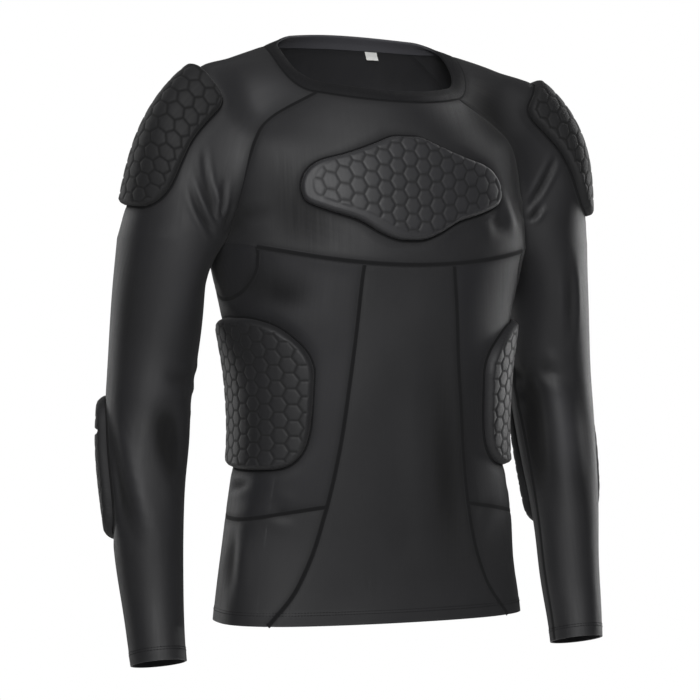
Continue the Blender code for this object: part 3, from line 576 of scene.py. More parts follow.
def armpit_lift(angle):
    """How far the bust line rises from the front and back middles to the underarm."""
    front = FRONT_ARMPIT_LIFT * (np.sin(angle) / math.sin(FRONT_ARMPIT)) ** 2
    back = BACK_ARMPIT_LIFT * (np.sin(angle) / math.sin(BACK_ARMPIT)) ** 2
    under = np.interp(angle, (FRONT_ARMPIT, BACK_ARMPIT), (FRONT_ARMPIT_LIFT, BACK_ARMPIT_LIFT))
    return np.where(angle < FRONT_ARMPIT, front, np.where(angle > BACK_ARMPIT, back, under))


def torso_point(angle, z):
    """Point of the body below the bust line: angle 0 at the front, a quarter turn at the left side."""
    angle, z = matched(angle, z)
    row = read_rows(TORSO_ROWS, -z)
    sine = np.sin(angle)
    depth = np.clip(1 - np.abs(sine) ** TORSO_ROUNDNESS, 0, 1) ** (1 / TORSO_ROUNDNESS)
    reach = np.where(np.cos(angle) > 0, -row.front, row.back)
    fade = np.clip((BUST_Z - z) / LIFT_FADE, 0, 1)
    lift = armpit_lift(angle) * (1 - fade) ** 2 * (1 + 2 * fade)
    return np.stack([row.half_width * sine, row.middle_y + reach * depth, z + lift], -1)


def underarm_point(share):
    """Line under the arm where sleeve and body part, from the back (share 0) to the front (share 1)."""
    return torso_point(BACK_ARMPIT + (FRONT_ARMPIT - BACK_ARMPIT) * share, BUST_Z)


def sleeve_ring(theta, z):
    """Plain oval ring of the left sleeve, square to the arm; theta 0 is outermost, plus is the front."""
    row, ahead, behind = (read_rows(SLEEVE_ROWS, step - z) for step in (0, SMALL, -SMALL))
    run = np.maximum(ahead.drop - behind.drop, SMALL)
    lean = np.arctan((ahead.y - behind.y) / run) * np.clip((SLEEVE_TOP_Z - z) / OUTER_FADE, 0, 1)
    lateral = row.half_width * np.cos(theta)
    depth = -row.half_depth * np.sin(theta)
    return np.stack([row.x + lateral, row.y + depth * np.cos(lean), z + depth * np.sin(lean)], -1)


def sleeve_point(turn, z):
    """Point of the left sleeve below its cap; turn 1 to 3 runs on from the back seam under the arm."""
    turn, z = matched(turn, z)
    angles = (SLEEVE_FRONT_ANGLE, 0, SLEEVE_BACK_ANGLE, SLEEVE_FRONT_ANGLE - 2 * math.pi)
    theta = np.interp(turn, (-1, 0, 1, 3), angles)
    over = cap_point(np.minimum(turn, 1), BUST_LEVEL)
    under = underarm_point((np.maximum(turn, 1) - 1) / 2)
    top = np.where((turn <= 1)[..., None], over, under)
    inward = (1 - np.cos(theta)) / 2
    fade_length = OUTER_FADE + (INNER_FADE - OUTER_FADE) * inward
    fade = np.exp(-(np.maximum(SLEEVE_TOP_Z - z, 0) / fade_length) ** (2 - inward))
    return sleeve_ring(theta, z) + (top - sleeve_ring(theta, SLEEVE_TOP_Z)) * fade[..., None]


def gusset_share(angle):
    """How much of a line's gusset sag applies round the body: none in front, all beneath the arm."""
    forward = np.clip((GUSSET_LOWEST - angle) / (GUSSET_LOWEST - GUSSET_FRONT), 0, 1)
    rearward = np.clip((angle - GUSSET_LOWEST) / (BACK_ARMPIT - GUSSET_LOWEST), 0, 1)
    behind = np.clip((angle - BACK_ARMPIT) / (math.pi - BACK_ARMPIT), 0, 1)
    return np.sqrt(1 - forward ** 2) * (1 - GUSSET_BACK_RISE * rearward ** 2) * (1 - behind) ** 2


def body_points(lines, angles):
    """Points of one or more body lines at angles that are the same for all, or a row for each."""
    z, sag, drop = np.moveaxis(lines, -1, 0)[..., None]
    return torso_point(angles, z - sag * gusset_share(angles) + drop * np.sin(angles) ** 2)


FINE_LINES = stepped(BODY_LINES, LINE_PARTS)
FINE_GUSSET = sum(LINE_PARTS[:GUSSET_LINE])
FINE_HIP = sum(LINE_PARTS[:HIP_LINE])
FINE_SLEEVE = stepped(SLEEVE_LINES, SLEEVE_PARTS)
FINE_LEVELS = np.linspace(NECK_SEAM, BUST_LEVEL, YOKE_STEPS + 1)
DROPS = -FINE_LINES[:, 0]
PRINCESS = np.arcsin(read_rows(PRINCESS_ROWS, DROPS).x / read_rows(TORSO_ROWS, DROPS).half_width)
UNDER_ANGLES = stepped((GUSSET_FRONT, FRONT_ARMPIT, BACK_ARMPIT), (GUSSET_FRONT_COLUMNS, UNDERARM_COLUMNS))


def cloth_stretches():
    """Left half of every stretch of cloth: its panel, whether its last column is the middle of the body, how
    much of the panel lies above it, and its points."""
    levels = FINE_LEVELS[:, None]
    band = np.array(BAND_LEVELS)[:, None]
    shares = stepped((0, PRINCESS[0] / FRONT_ARMPIT, GUSSET_FRONT / FRONT_ARMPIT, 1),
                     (CENTER_COLUMNS, SIDE_COLUMNS, GUSSET_FRONT_COLUMNS))
    back_shares = np.linspace(1, 0, BACK_COLUMNS + 1)
    behind = np.linspace(BACK_ARMPIT, math.pi, BACK_COLUMNS + 1)
    sleeve_turns = stepped((-1, 1, 3), (CAP_COLUMNS, UNDERARM_COLUMNS))
    turns = sleeve_turns[:CAP_COLUMNS + 1]
    center = np.linspace(0, PRINCESS, CENTER_COLUMNS + 1).T
    side = np.linspace(PRINCESS, GUSSET_FRONT, SIDE_COLUMNS + 1).T
    upper, lower = slice(FINE_HIP + 1), slice(FINE_HIP, None)
    back_top = running(back_point(0, FINE_LEVELS))[-1]
    cap_top = running(cap_point(0, FINE_LEVELS))[-1]
    return (
        ("neckband", False, 0, front_point(shares, band)),
        ("neckband", False, 0, cap_point(turns, band)),
        ("neckband", True, 0, back_point(back_shares, band)),
        ("front_yoke", False, 0, front_point(shares, levels)),
        ("back", True, 0, back_point(back_shares, levels)),
        ("back", True, back_top, body_points(FINE_LINES, behind)),
        ("front_center", False, 0, body_points(FINE_LINES, center)),
        ("side", False, 0, body_points(FINE_LINES[upper], side[upper])),
        ("side", False, 0, body_points(FINE_LINES[FINE_GUSSET:FINE_HIP + 1], UNDER_ANGLES)),
        ("gusset", False, 0, body_points(FINE_LINES[:FINE_GUSSET + 1], UNDER_ANGLES)),
        ("hip", False, 0, body_points(FINE_LINES[lower], side[lower])),
        ("hip", False, 0, body_points(FINE_LINES[lower], UNDER_ANGLES)),
        ("sleeve", False, 0, cap_point(turns, levels)),
        ("sleeve", False, cap_top, sleeve_point(sleeve_turns, FINE_SLEEVE[:, None])),
    )


def flat_places(grid, middle_last, above):
    """Lengths along the cloth from its middle and from its top, which the weave follows."""
    across = running(grid, 1)
    if middle_last:
        across = across[:, -1:] - across
    return np.stack([across, -above - running(grid)], -1)


def grid_quads(numbers):
    corners = (numbers[:-1, :-1], numbers[1:, :-1], numbers[1:, 1:], numbers[:-1, 1:])
    return np.stack(corners, -1).reshape(-1, 4)


def facings(points, quads):
    """Way that each quad faces, twice as long as its surface is large."""
    corners = points[quads]
    return np.cross(corners[:, 2] - corners[:, 0], corners[:, 3] - corners[:, 1])


def gathered(points, touched, ways):
    """Sum at every point of the ways of what touches it."""
    total = np.zeros_like(points)
    for numbers in touched:
        np.add.at(total, numbers, ways)
    return total


def vertex_normals(points, quads):
    return unit(gathered(points, quads.T, facings(points, quads)))


def tree_of(points):
    tree = KDTree(len(points))
    for number, point in enumerate(points):
        tree.insert(point, number)
    tree.balance()
    return tree


def distance_to(points, paths):
    tree = tree_of(np.concatenate(paths))
    return np.array([tree.find(point)[2] for point in points])


class Cloth:
    """The whole shirt's cloth as one welded surface, with its quads and flat places sorted by panel."""

    def __init__(self):
        halves = []
        for panel, middle_last, above, grid in cloth_stretches():
            flat = flat_places(grid, middle_last, above)
            left, right = (panel + "_left", panel + "_right") if panel in PAIRED_PANELS else (panel, panel)
            halves += [(left, grid, flat), (right, mirrored(grid)[:, ::-1], (flat * (-1, 1))[:, ::-1])]
        every = np.concatenate([grid.reshape(-1, 3) for _, grid, _ in halves])
        keys = np.round(every, WELD_DIGITS) + 0.0
        _, first, numbers = np.unique(keys, axis=0, return_index=True, return_inverse=True)
        numbers = numbers.ravel()
        self.base = every[first]
        self.quads, self.flat = {}, {}
        start = 0
        for name, grid, flat in halves:
            count = grid.shape[0] * grid.shape[1]
            ids = numbers[start:start + count].reshape(grid.shape[:2])
            start += count
            self.quads.setdefault(name, []).append(grid_quads(ids))
            self.flat.setdefault(name, {}).update(zip(ids.ravel().tolist(), flat.reshape(-1, 2).tolist()))
        self.quads = {name: np.concatenate(parts) for name, parts in self.quads.items()}
        self.every_quad = np.concatenate(list(self.quads.values()))
        self.normals = vertex_normals(self.base, self.every_quad)
        self.points = self.base.copy()
        self.tone = np.ones(len(self.base))
        self.tree = tree_of(self.base)

    def beside(self, words):
        """1 on the panels whose names start with one of the words, dying out just past them."""
        panels = [self.base[np.unique(quads)] for name, quads in self.quads.items()
                  if name.startswith(words)]
        return near_to(distance_to(self.base, panels), OTHER_CLOTH_REACH)

    def nearest(self, path):
        return [self.tree.find(point)[1] for point in path]

    def lift(self, heights):
        self.points = self.base + self.normals * heights[:, None]
        self.normals = vertex_normals(self.points, self.every_quad)


SURFACES = {"cap": cap_point, "sleeve": sleeve_point, "torso": torso_point, "front": front_point,
            "back": back_point}


def beside_paths(points, bend):
    """For each path of a crease or shade: the points near it, its strength there, fading to its ends, and
    their gap from it in half widths."""
    along = np.linspace(0, 1, CREASE_SAMPLES)[:, None]
    start, middle, end = bend.places
    places = start * (1 - along) ** 2 + 2 * middle * along * (1 - along) + end * along ** 2
    left = SURFACES[bend.surface](*places.T)
    reach = CREASE_REACH * bend.width
    for path in [left] * (bend.side != "right") + [mirrored(left)] * (bend.side != "left"):
        near = ((points > path.min(axis=0) - reach) & (points < path.max(axis=0) + reach)).all(axis=1)
        gaps = norm(points[near][:, None] - path, axis=-1)
        part = gaps.argmin(axis=1) / (CREASE_SAMPLES - 1)
        strength = eased(part / bend.peak) * eased((1 - part) / (1 - bend.peak))
        yield near, strength, gaps.min(axis=1) / bend.width


def shaded(points):
    """Share of the tone that the broad painted shades leave at each point, more than all of it where painted
    light lifts it.
    """
    left = np.ones(len(points))
    for bend in SHADES:
        for near, strength, gap in beside_paths(points, bend):
            left[near] *= 1 - bend.depth * strength * near_to(gap, 1)
    return left


def creased(cloth):
    """Lift of every point by all creases: troughs with low ridges beside them, each on its own cloth."""
    on_arm, on_body = cloth.beside(ARM_PANELS), cloth.beside(BODY_PANELS)
    total = np.zeros(len(cloth.base))
    for bend in CREASES:
        share = on_arm if bend.surface in ("cap", "sleeve") else on_body
        for near, strength, gap in beside_paths(cloth.base, bend):
            ridge = RIDGE_SHARE * near_to(gap - RIDGE_AT, RIDGE_WIDTH)
            total[near] += share[near] * bend.depth * strength * (ridge - near_to(gap, 1))
    return total


def uneven(points):
    return sum(wave.height * np.sin(points @ np.array(wave.way) * 2 * math.pi / wave.length + wave.start)
               for wave in WAVES)


def whole(half):
    """A path from the middle of the body, carried on to the other side."""
    return np.concatenate([mirrored(half)[::-1], half[1:]])


def seam_paths():
    """Every sewn line of the left half and of the middle, as (path, whether it has a mirror image)."""
    turns = np.linspace(-1, 1, 3 * CAP_COLUMNS)
    shares = np.linspace(0, 1, 2 * BACK_COLUMNS)
    lines, heights = FINE_LINES.copy(), FINE_SLEEVE.copy()
    lines[-1, 0] += STRIP_STEP
    heights[-1] += STRIP_STEP
    hip_front = np.linspace(PRINCESS[FINE_HIP], GUSSET_FRONT, SIDE_COLUMNS)
    half_neck = np.concatenate([front_point(shares, NECK_SEAM), cap_point(turns, NECK_SEAM)[1:],
                                back_point(shares[::-1], NECK_SEAM)[1:]])
    gusset_front = body_points(FINE_LINES[:FINE_GUSSET], GUSSET_FRONT)[:, 0]
    return (
        (whole(half_neck), False),
        (whole(body_points(FINE_LINES[0], np.linspace(0, GUSSET_FRONT, 2 * SIDE_COLUMNS))), False),
        (cap_point(-1, FINE_LEVELS), True),
        (cap_point(1, FINE_LEVELS), True),
        (body_points(lines, PRINCESS[:, None])[:, 0], True),
        (body_points(lines, BACK_ARMPIT)[:, 0], True),
        (np.concatenate([gusset_front, body_points(FINE_LINES[FINE_GUSSET], UNDER_ANGLES)]), True),
        (underarm_point(shares), True),
        (body_points(FINE_LINES[FINE_HIP], np.concatenate([hip_front, UNDER_ANGLES[1:]])), True),
        (sleeve_point(2, heights), True),
    )


def both_sides(paths):
    """The paths in even steps, with the mirror images of those that have one."""
    every = []
    for path, has_image in paths:
        every += [path, mirrored(path)[::-1]] if has_image else [path]
    return [evenly(path, STRIP_STEP) for path in every]


def edge_paths():
    """Raw edges of the shirt, closed: the hem and both cuffs."""
    angles = np.linspace(-math.pi, math.pi, 8 * BACK_COLUMNS)
    hem = body_points(FINE_LINES[-1], np.abs(angles))
    hem[angles < 0] = mirrored(hem[angles < 0])
    cuff = sleeve_point(np.linspace(-1, 3, 4 * CAP_COLUMNS), FINE_SLEEVE[-1])
    return hem, cuff, mirrored(cuff)


def averaged(values):
    """Values evened out over a window that slides along them."""
    half = AVERAGE_WINDOW // 2
    first, last = values[:1], values[-1:]
    sums = np.cumsum(np.concatenate([0 * first, *[first] * half, values, *[last] * half]), axis=0)
    return (sums[AVERAGE_WINDOW:] - sums[:-AVERAGE_WINDOW]) / AVERAGE_WINDOW


def settled(cloth, walls, path):
    """A path of the plain surface moved onto the creased cloth, with the normals and half wall there."""
    numbers = cloth.nearest(path)
    moved = path + averaged(cloth.points[numbers] - cloth.base[numbers])
    return moved, unit(averaged(cloth.normals[numbers])), averaged(walls[numbers]) / 2


def placed(name, data):
    """A new object in the scene."""
    made = bpy.data.objects.new(name, data)
    bpy.context.scene.collection.objects.link(made)
    return made


def add_piece(name, points, faces, material, slot, nodes=(), flat=None, tone=None):
    """A mesh piece that rides on the shirt's one body and stands for the nodes named."""
    mesh = bpy.data.meshes.new(name)
    mesh.from_pydata(points.tolist(), [], [face.tolist() for face in faces])
    mesh.materials.append(material)
    mesh.shade_smooth()
    mesh.set_sharp_from_angle(angle=SHARP_ANGLE)
    if flat is not None:
        corners = np.empty(len(mesh.loops), np.int32)
        mesh.loops.foreach_get("vertex_index", corners)
        layer = mesh.uv_layers.new(name="flat")
        layer.data.foreach_set("uv", flat[corners].astype(np.float32).ravel())
    # Tone that scales the colour at each point; on the cloth and pads it carries painted shade and light
    shares = np.ones(len(points)) if tone is None else tone
    mesh.attributes.new("tone", "FLOAT", "POINT").data.foreach_set("value", shares.astype(np.float32))
    piece = placed(name, mesh)
    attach(piece, "root")
    if nodes:
        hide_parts(*nodes)
    return piece


def open_edges(quads):
    """Edges that only one of the quads has, in its own turning sense, with that quad's number."""
    starts = quads.ravel()
    ends = np.roll(quads, -1, axis=1).ravel()
    size = int(quads.max()) + 1
    lone = ~np.isin(starts * size + ends, ends * size + starts)
    return starts[lone], ends[lone], np.nonzero(lone)[0] // 4


def wall_faces(quads, count):
    """Faces of a closed wall: the quads, the same turned over and so many points on, and the rim."""
    starts, ends, _ = open_edges(quads)
    rim = np.stack([ends, starts, starts + count, ends + count], -1)
    return np.concatenate([quads, quads[:, ::-1] + count, rim])


def drawn_in(points, quads):
    """Points with the panel's own border moved in, along its cloth, by half of the seam gap."""
    starts, ends, owners = open_edges(quads)
    across = unit(np.cross(facings(points, quads)[owners], points[ends] - points[starts]))
    border = np.union1d(starts, ends)
    moved = points.copy()
    moved[border] += unit(gathered(points, (starts, ends), across)[border]) * SEAM_GAP / 2
    return moved


def panel_of(name):
    """Name of a panel without its side."""
    return name.removesuffix("_left").removesuffix("_right")


def nodes_of(name):
    """The part's nodes that a panel stands for; its back and sleeves are cut into several."""
    if name == "back":
        return [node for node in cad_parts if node.startswith("back")]
    if name.startswith("sleeve"):
        side = name.partition("_")[2]
        return [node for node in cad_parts
                if node.startswith(("raglan", "sleeve")) and node.endswith(side)]
    return [name]


def add_panel(cloth, name, material, slot, walls, tone, inside_tone):
    """One cut panel as a closed wall round its middle surface."""
    quads = cloth.quads[name]
    used = np.unique(quads)
    local = np.zeros(len(cloth.points), np.int64)
    local[used] = np.arange(len(used))
    middle = drawn_in(cloth.points, quads)[used]
    reach = cloth.normals[used] * walls[used, None] / 2
    flat = np.array([cloth.flat[name][number] for number in used.tolist()])
    piece = add_piece("cloth_" + name, np.concatenate([middle + reach, middle - reach]),
                      wall_faces(local[quads], len(used)), material, slot, nodes_of(name),
                      np.concatenate([flat, flat]), np.concatenate([tone[used], inside_tone[used]]))
    area = norm(facings(cloth.points, quads), axis=1).sum() / 2 * CUT_SHARE ** 2
    PANEL_CUTS[panel_of(name)]


def chart(surface, middle_across, across_ends, middle_along, along_ends):
    """Map from flat pattern lengths to a surface: up its middle line first, then across from it."""
    def run_through(ends, middle):
        return stepped((ends[0], middle, ends[1]), (CHART_SAMPLES, CHART_SAMPLES))

    def lengths(points):
        total = running(points, points.ndim - 2)
        return total - total[..., CHART_SAMPLES:CHART_SAMPLES + 1]

    along = run_through(along_ends, middle_along)
    across = run_through(across_ends, middle_across)
    heights = lengths(surface(middle_across, along))

    def place(flat):
        shelves = np.linspace(flat[:, 1].min(), flat[:, 1].max(), CHART_ROWS + 1)
        widths = lengths(surface(across, np.interp(shelves, heights, along)[:, None]))
        columns = np.array([np.interp(flat[:, 0], width, across) for width in widths])
        at = (flat[:, 1] - shelves[0]) / (shelves[1] - shelves[0])
        low = np.clip(at.astype(int), 0, CHART_ROWS - 1)
        each = np.arange(len(flat))
        column = columns[low, each] + (columns[low + 1, each] - columns[low, each]) * (at - low)
        row = np.interp(flat[:, 1], heights, along)
        sideways = surface(column + SMALL, row) - surface(column - SMALL, row)
        step = SMALL * math.copysign(1, along_ends[1] - along_ends[0])
        upward = surface(column, row + step) - surface(column, row - step)
        return surface(column, row), unit(np.cross(sideways, upward))

    return place


def closed_curve(corners, step):
    """Smooth closed curve through an outline's points, turning left, cut into even steps."""
    start = np.array(corners, float)
    before, end, after = (np.roll(start, shift, axis=0) for shift in (1, -1, -2))
    parts = np.linspace(0, 1, CURVE_PARTS, endpoint=False)[None, :, None]
    ways = ((end - before) / 2, (after - start) / 2)
    fine = bent(start[:, None], ways[0][:, None], end[:, None], ways[1][:, None], parts).reshape(-1, 2)
    even = evenly(np.concatenate([fine, fine[:1]]), step, closed=True)
    x, y = even.T
    return even if (x * np.roll(y, -1) - y * np.roll(x, -1)).sum() > 0 else even[::-1]


def inside_distance(points, loop):
    """Distance from each point to a closed outline, positive inside it."""
    start = loop[None, :, :]
    way = np.roll(loop, -1, axis=0)[None, :, :] - start
    offset = points[:, None, :] - start
    share = np.clip((offset * way).sum(-1) / (way ** 2).sum(-1), 0, 1)
    distance = norm(offset - share[..., None] * way, axis=-1).min(axis=1)
    upward = (offset[..., 1] < 0) != (offset[..., 1] < way[..., 1])
    rise = np.where(way[..., 1] == 0, 1, way[..., 1])
    inside = (upward & (offset[..., 0] < way[..., 0] * offset[..., 1] / rise)).sum(axis=1) % 2 == 1
    return np.where(inside, distance, -distance)


def cell_reach(flat):
    """How far each point lies from the middle of its hexagonal cell: 0 there, 1 at the cell's border."""
    column_step = HEX_PITCH * math.sqrt(3) / 2
    column = np.round(flat[:, 0] / column_step)
    reach = np.full(len(flat), np.inf)
    for shift in (-1, 0, 1):
        near = column + shift
        half = np.mod(near, 2) / 2
        row = np.round(flat[:, 1] / HEX_PITCH - half) + half
        across = np.abs(flat[:, 0] - near * column_step)
        along = np.abs(flat[:, 1] - row * HEX_PITCH)
        reach = np.minimum(reach, np.maximum(along, across * math.sqrt(3) / 2 + along / 2))
    return reach / (HEX_PITCH / 2)


def lattice(loop, step):
    """Even points inside an outline, clear of it by most of a step."""
    low, high = loop.min(axis=0), loop.max(axis=0)
    rows = np.arange(low[1], high[1], step * math.sqrt(3) / 2)
    points = np.array([(x, y) for i, y in enumerate(rows)
                       for x in np.arange(low[0] + (i % 2) * step / 2, high[0], step)])
    return points[inside_distance(points, loop) > step * LATTICE_CLEAR]


def fill_outline(loop, step):
    """Triangles over an outline and even points inside it, all turning left."""
    points = [Vector(point) for point in np.concatenate([loop, lattice(loop, step)])]
    flat, _, faces, *_ = delaunay_2d_cdt(points, [], [list(range(len(loop)))], FILL_INSIDE, FILL_WELD)
    flat = np.array([tuple(point) for point in flat])
    triangles = np.array([tuple(face) for face in faces])
    a, b, c = (flat[triangles[:, corner]] for corner in range(3))
    turning = (b[:, 0] - a[:, 0]) * (c[:, 1] - a[:, 1]) - (b[:, 1] - a[:, 1]) * (c[:, 0] - a[:, 0])
    triangles[turning < 0] = triangles[turning < 0][:, ::-1]
    return flat, triangles


def pad_shape(flat, loop, look):
    """Height of a pad's face over its base, and its tone, with painted shade in the grooves between the
    cells and in the elbow pad's cross groove.
    """
    depth = np.maximum(inside_distance(flat, loop), 0)
    border = np.clip(depth / PAD_EDGE, 0, 1)
    reach = cell_reach(flat)
    top = eased((1 - reach) * (HEX_PITCH / 2) / CELL_SLOPE)
    fade = eased((inside_distance(flat + look.shift, loop) - CELL_START) / CELL_FADE)
    dome = (1 - CELL_DOME) + CELL_DOME * (1 - reach ** 2)
    full = PAD_FULL + PAD_CROWN * (1 - np.exp(-depth / PAD_CROWN_RUN)) + look.relief * top * dome * fade
    rise = 1 - fade * (1 - top)
    height = PAD_SKIRT + (full - PAD_SKIRT) * np.sqrt(border * (2 - border))
    if look.groove_height is not None:
        groove = eased(np.abs(flat[:, 1] - look.groove_height) / ELBOW_GROOVE_HALF)
        groove = 1 - (1 - groove) * eased(depth / ELBOW_GROOVE_END)
        height = PAD_SKIRT + (height - PAD_SKIRT) * (ELBOW_GROOVE_FLOOR + (1 - ELBOW_GROOVE_FLOOR) * groove)
        rise = rise * groove
    return height + look.seat * border, look.tone * (GROOVE_SHADE + (1 - GROOVE_SHADE) * rise)


class Pad:
    """A foam pad on its surface: closed body, its tones, and its flat places."""

    def __init__(self, place, outline, look):
        loop = closed_curve(outline, PAD_STEP)
        way = np.roll(loop, -1, axis=0) - np.roll(loop, 1, axis=0)
        outward = unit(np.stack([way[:, 1], -way[:, 0]], -1))
        face_flat, face_triangles = fill_outline(loop, PAD_STEP)
        seat_flat, seat_triangles = fill_outline(loop, PAD_SEAT_STEP)
        height, tone = pad_shape(face_flat, loop, look)
        point, normal = place(face_flat)
        face = point + normal * (PAD_BASE + height)[:, None]
        point, normal = place(seat_flat)
        self.base = point + normal * PAD_BASE
        self.rim = place(loop)[0]
        line = place(loop + outward * PAD_LINE_OUT)[0]
        self.line = np.concatenate([line, line[:1]])
        count, border = len(face), np.arange(len(loop))
        following = np.roll(border, -1)
        sides = np.concatenate([np.stack([following, border, border + count], -1),
                                np.stack([following, border + count, following + count], -1)])
        self.points = np.concatenate([face, self.base])
        self.triangles = np.concatenate([face_triangles, seat_triangles[:, ::-1] + count, sides])
        self.tone = np.concatenate([tone, np.full(len(self.base), look.tone)])
        self.flat = np.concatenate([face_flat, seat_flat])

    def add(self, name, node, material, mirror):
        points = mirrored(self.points) if mirror else self.points
        triangles = self.triangles[:, ::-1] if mirror else self.triangles
        piece = add_piece(name, points, triangles, material, "pad", (node,), self.flat, self.tone)


# Pads: surface, their middle and the chart's reach across it, the same along it, and outline
YOKE_REACH = (BUST_LEVEL, NECK_SEAM)
PADS = {
    "chest": (front_point, 0, (-1, 1), 3.42, YOKE_REACH, CHEST_OUTLINE),
    "rib": (torso_point, math.radians(80), (0, math.pi), -.382, (-.6, BUST_Z), RIB_OUTLINE),
    "shoulder": (cap_point, 0, (-1, 1), 3.82, YOKE_REACH, SHOULDER_OUTLINE),
    "elbow": (sleeve_point, .48, (-1, 1.8), -.453, (-.66, -.24), ELBOW_OUTLINE),
}


def shape_cloth(cloth, pads):
    """Press creases, seams and pad borders into the cloth, and paint shade and light into its tone."""
    from_beds = distance_to(cloth.base, with_images([pad.base for pad in pads.values()]))
    from_rims = distance_to(cloth.base, with_images([pad.rim for pad in pads.values()]))
    from_seams = distance_to(cloth.base, both_sides(seam_paths()))
    beside = eased((from_beds - PAD_SEAT_STEP / 2) / PAD_CALM)
    creases = creased(cloth) * beside
    # Painted shade in the crease troughs and painted highlight on their ridges
    cloth.tone -= CREASE_SHADE * eased(-creases / CREASE_SHADE_DEPTH)
    cloth.tone += CREASE_LIGHT * eased(creases / CREASE_SHADE_DEPTH)
    # Painted shadow round the foot of each pad
    cloth.tone -= PAD_SHADE * near_to(from_rims, PAD_SHADE_WIDTH)
    # Painted shade along the seams
    cloth.tone -= SEAM_SHADE * near_to(from_seams, SEAM_SHADE_WIDTH)
    # Lowest tone of the painted shade, then the broad painted shades and lights
    cloth.tone = np.maximum(cloth.tone, DARKEST) * shaded(cloth.base)
    lift = creases + uneven(cloth.base) * beside
    lift -= SEAM_TROUGH * near_to(from_seams, SEAM_TROUGH_WIDTH)
    lift -= PAD_TROUGH * near_to(from_rims, PAD_TROUGH_WIDTH)
    lift -= PAD_SINK * (1 - beside)
    cloth.lift(lift)


def cloth_walls(cloth):
    """Wall of the cloth at each point, thicker at the turned hem and cuffs, and its tones outside and in."""
    from_edge = distance_to(cloth.base, [evenly(path, STRIP_STEP) for path in edge_paths()])
    walls = CLOTH_WALL + FOLDED_WALL * eased((FOLDED_EDGE - from_edge) / FOLD_STEP)
    tone = cloth.tone + EDGE_LIGHT * np.exp(-from_edge / FOLD_STEP)
    return walls, tone, np.full_like(tone, INSIDE_TONE)


def band_walls(cloth):
    """Wall of the neckband, rounded off at its upper edge and full in its middle, and its tones."""
    walls = np.full(len(cloth.base), BAND_WALL)
    tone = np.ones(len(cloth.base))
    for number, (_, down) in cloth.flat["neckband"].items():
        near = np.clip(-down / BAND_ROUND, BAND_EDGE_SHARE, 1)
        walls[number] = BAND_WALL * math.sqrt(near * (2 - near)) + 2 * BAND_BULGE * near
        tone[number] += EDGE_LIGHT * math.exp(down / FOLD_STEP)
    return walls, tone, np.full_like(tone, BAND_INSIDE_TONE)


def tube_faces(rings, sides):
    """Faces of a closed tube, with both ends."""
    numbers = np.arange(rings * sides).reshape(rings, sides)
    ahead = np.roll(numbers, -1, axis=1)
    quads = np.stack([numbers[:-1], ahead[:-1], ahead[1:], numbers[1:]], -1).reshape(-1, 4)
    return [*quads, numbers[0][::-1], numbers[-1]]


def strip_body(path, normals, seat, width):
    """Closed low band along a path, crossed by slanted threads, and its tone, darkest in its middle."""
    along = unit(np.gradient(path, axis=0))
    sideways = unit(np.cross(along, normals))
    upward = np.cross(sideways, along)
    lines = []
    for across in STRIP_ACROSS:
        thread = np.cos(2 * math.pi * (running(path) / THREAD_PITCH + THREAD_SLANT * across))
        lines.append((across, seat + (STRIP_HEIGHT + THREAD_RELIEF * thread) * (1 - across ** 4)))
    lines += [(across, seat - STRIP_HEIGHT) for across in STRIP_FEET]
    points = np.stack([path + sideways * across * width / 2 + upward * rise[:, None]
                       for across, rise in lines], axis=1)
    tone = 1 - (1 - STRIP_TONE) * eased((1 - np.abs([*STRIP_ACROSS, 0, 0])) / STRIP_CORE)
    return points.reshape(-1, 3), tube_faces(*points.shape[:2]), np.tile(tone, len(path))


def stitch_body(start, way, normal):
    """One thread of a stitched row, a low bead with both ends drawn into the cloth."""
    angles = np.linspace(0, 2 * math.pi, STITCH_SIDES, endpoint=False)[:, None]
    circle = np.cos(angles) * np.cross(unit(way), normal) + np.sin(angles) * normal
    points = np.concatenate([start + way * share + (normal * rise + circle * size) * STITCH_RADIUS
                             for share, size, rise in STITCH_RINGS])
    return points, tube_faces(len(STITCH_RINGS), STITCH_SIDES), np.full(len(points), STRIP_TONE)


def add_bodies(name, bodies, material):
    """Several closed bodies of sewing as one piece."""
    points, faces, tones, start = [], [], [], 0
    for body, body_faces, tone in bodies:
        points.append(body)
        tones.append(tone)
        faces += [face + start for face in body_faces]
        start += len(body)
    add_piece(name, np.concatenate(points), faces, material, "cloth", tone=np.concatenate(tones))


def add_seams(cloth, walls, pads, material):
    lines = [(path, SEAM_WIDTH) for path in both_sides(seam_paths())]
    # Dark sewn lines round the pads, which also stand in for the shadow at each pad's foot
    pad_lines = both_sides((pad.line, kind != "chest") for kind, pad in pads.items())
    lines += [(path, PAD_LINE_WIDTH) for path in pad_lines]
    bodies = [strip_body(*settled(cloth, walls, path), width) for path, width in lines]
    add_bodies("seam_thread", bodies, material)


def add_stitches(cloth, walls, material):
    """The double row of stitches that holds each turned edge."""
    bodies = []
    for edge in edge_paths():
        for rise in HEM_STITCH_RISE:
            row = evenly(edge, STITCH_PITCH) + np.array([0, 0, rise])
            moved, normals, seat = settled(cloth, walls, row)
            inset = averaged(((cloth.base[cloth.nearest(row)] - row) * normals).sum(axis=1))
            points = moved + normals * (inset + seat)[:, None]
            ways = np.diff(points, axis=0) * STITCH_LENGTH / STITCH_PITCH
            bodies += [stitch_body(*stitch) for stitch in zip(points, ways, normals)]
    add_bodies("edge_stitches", bodies, material)


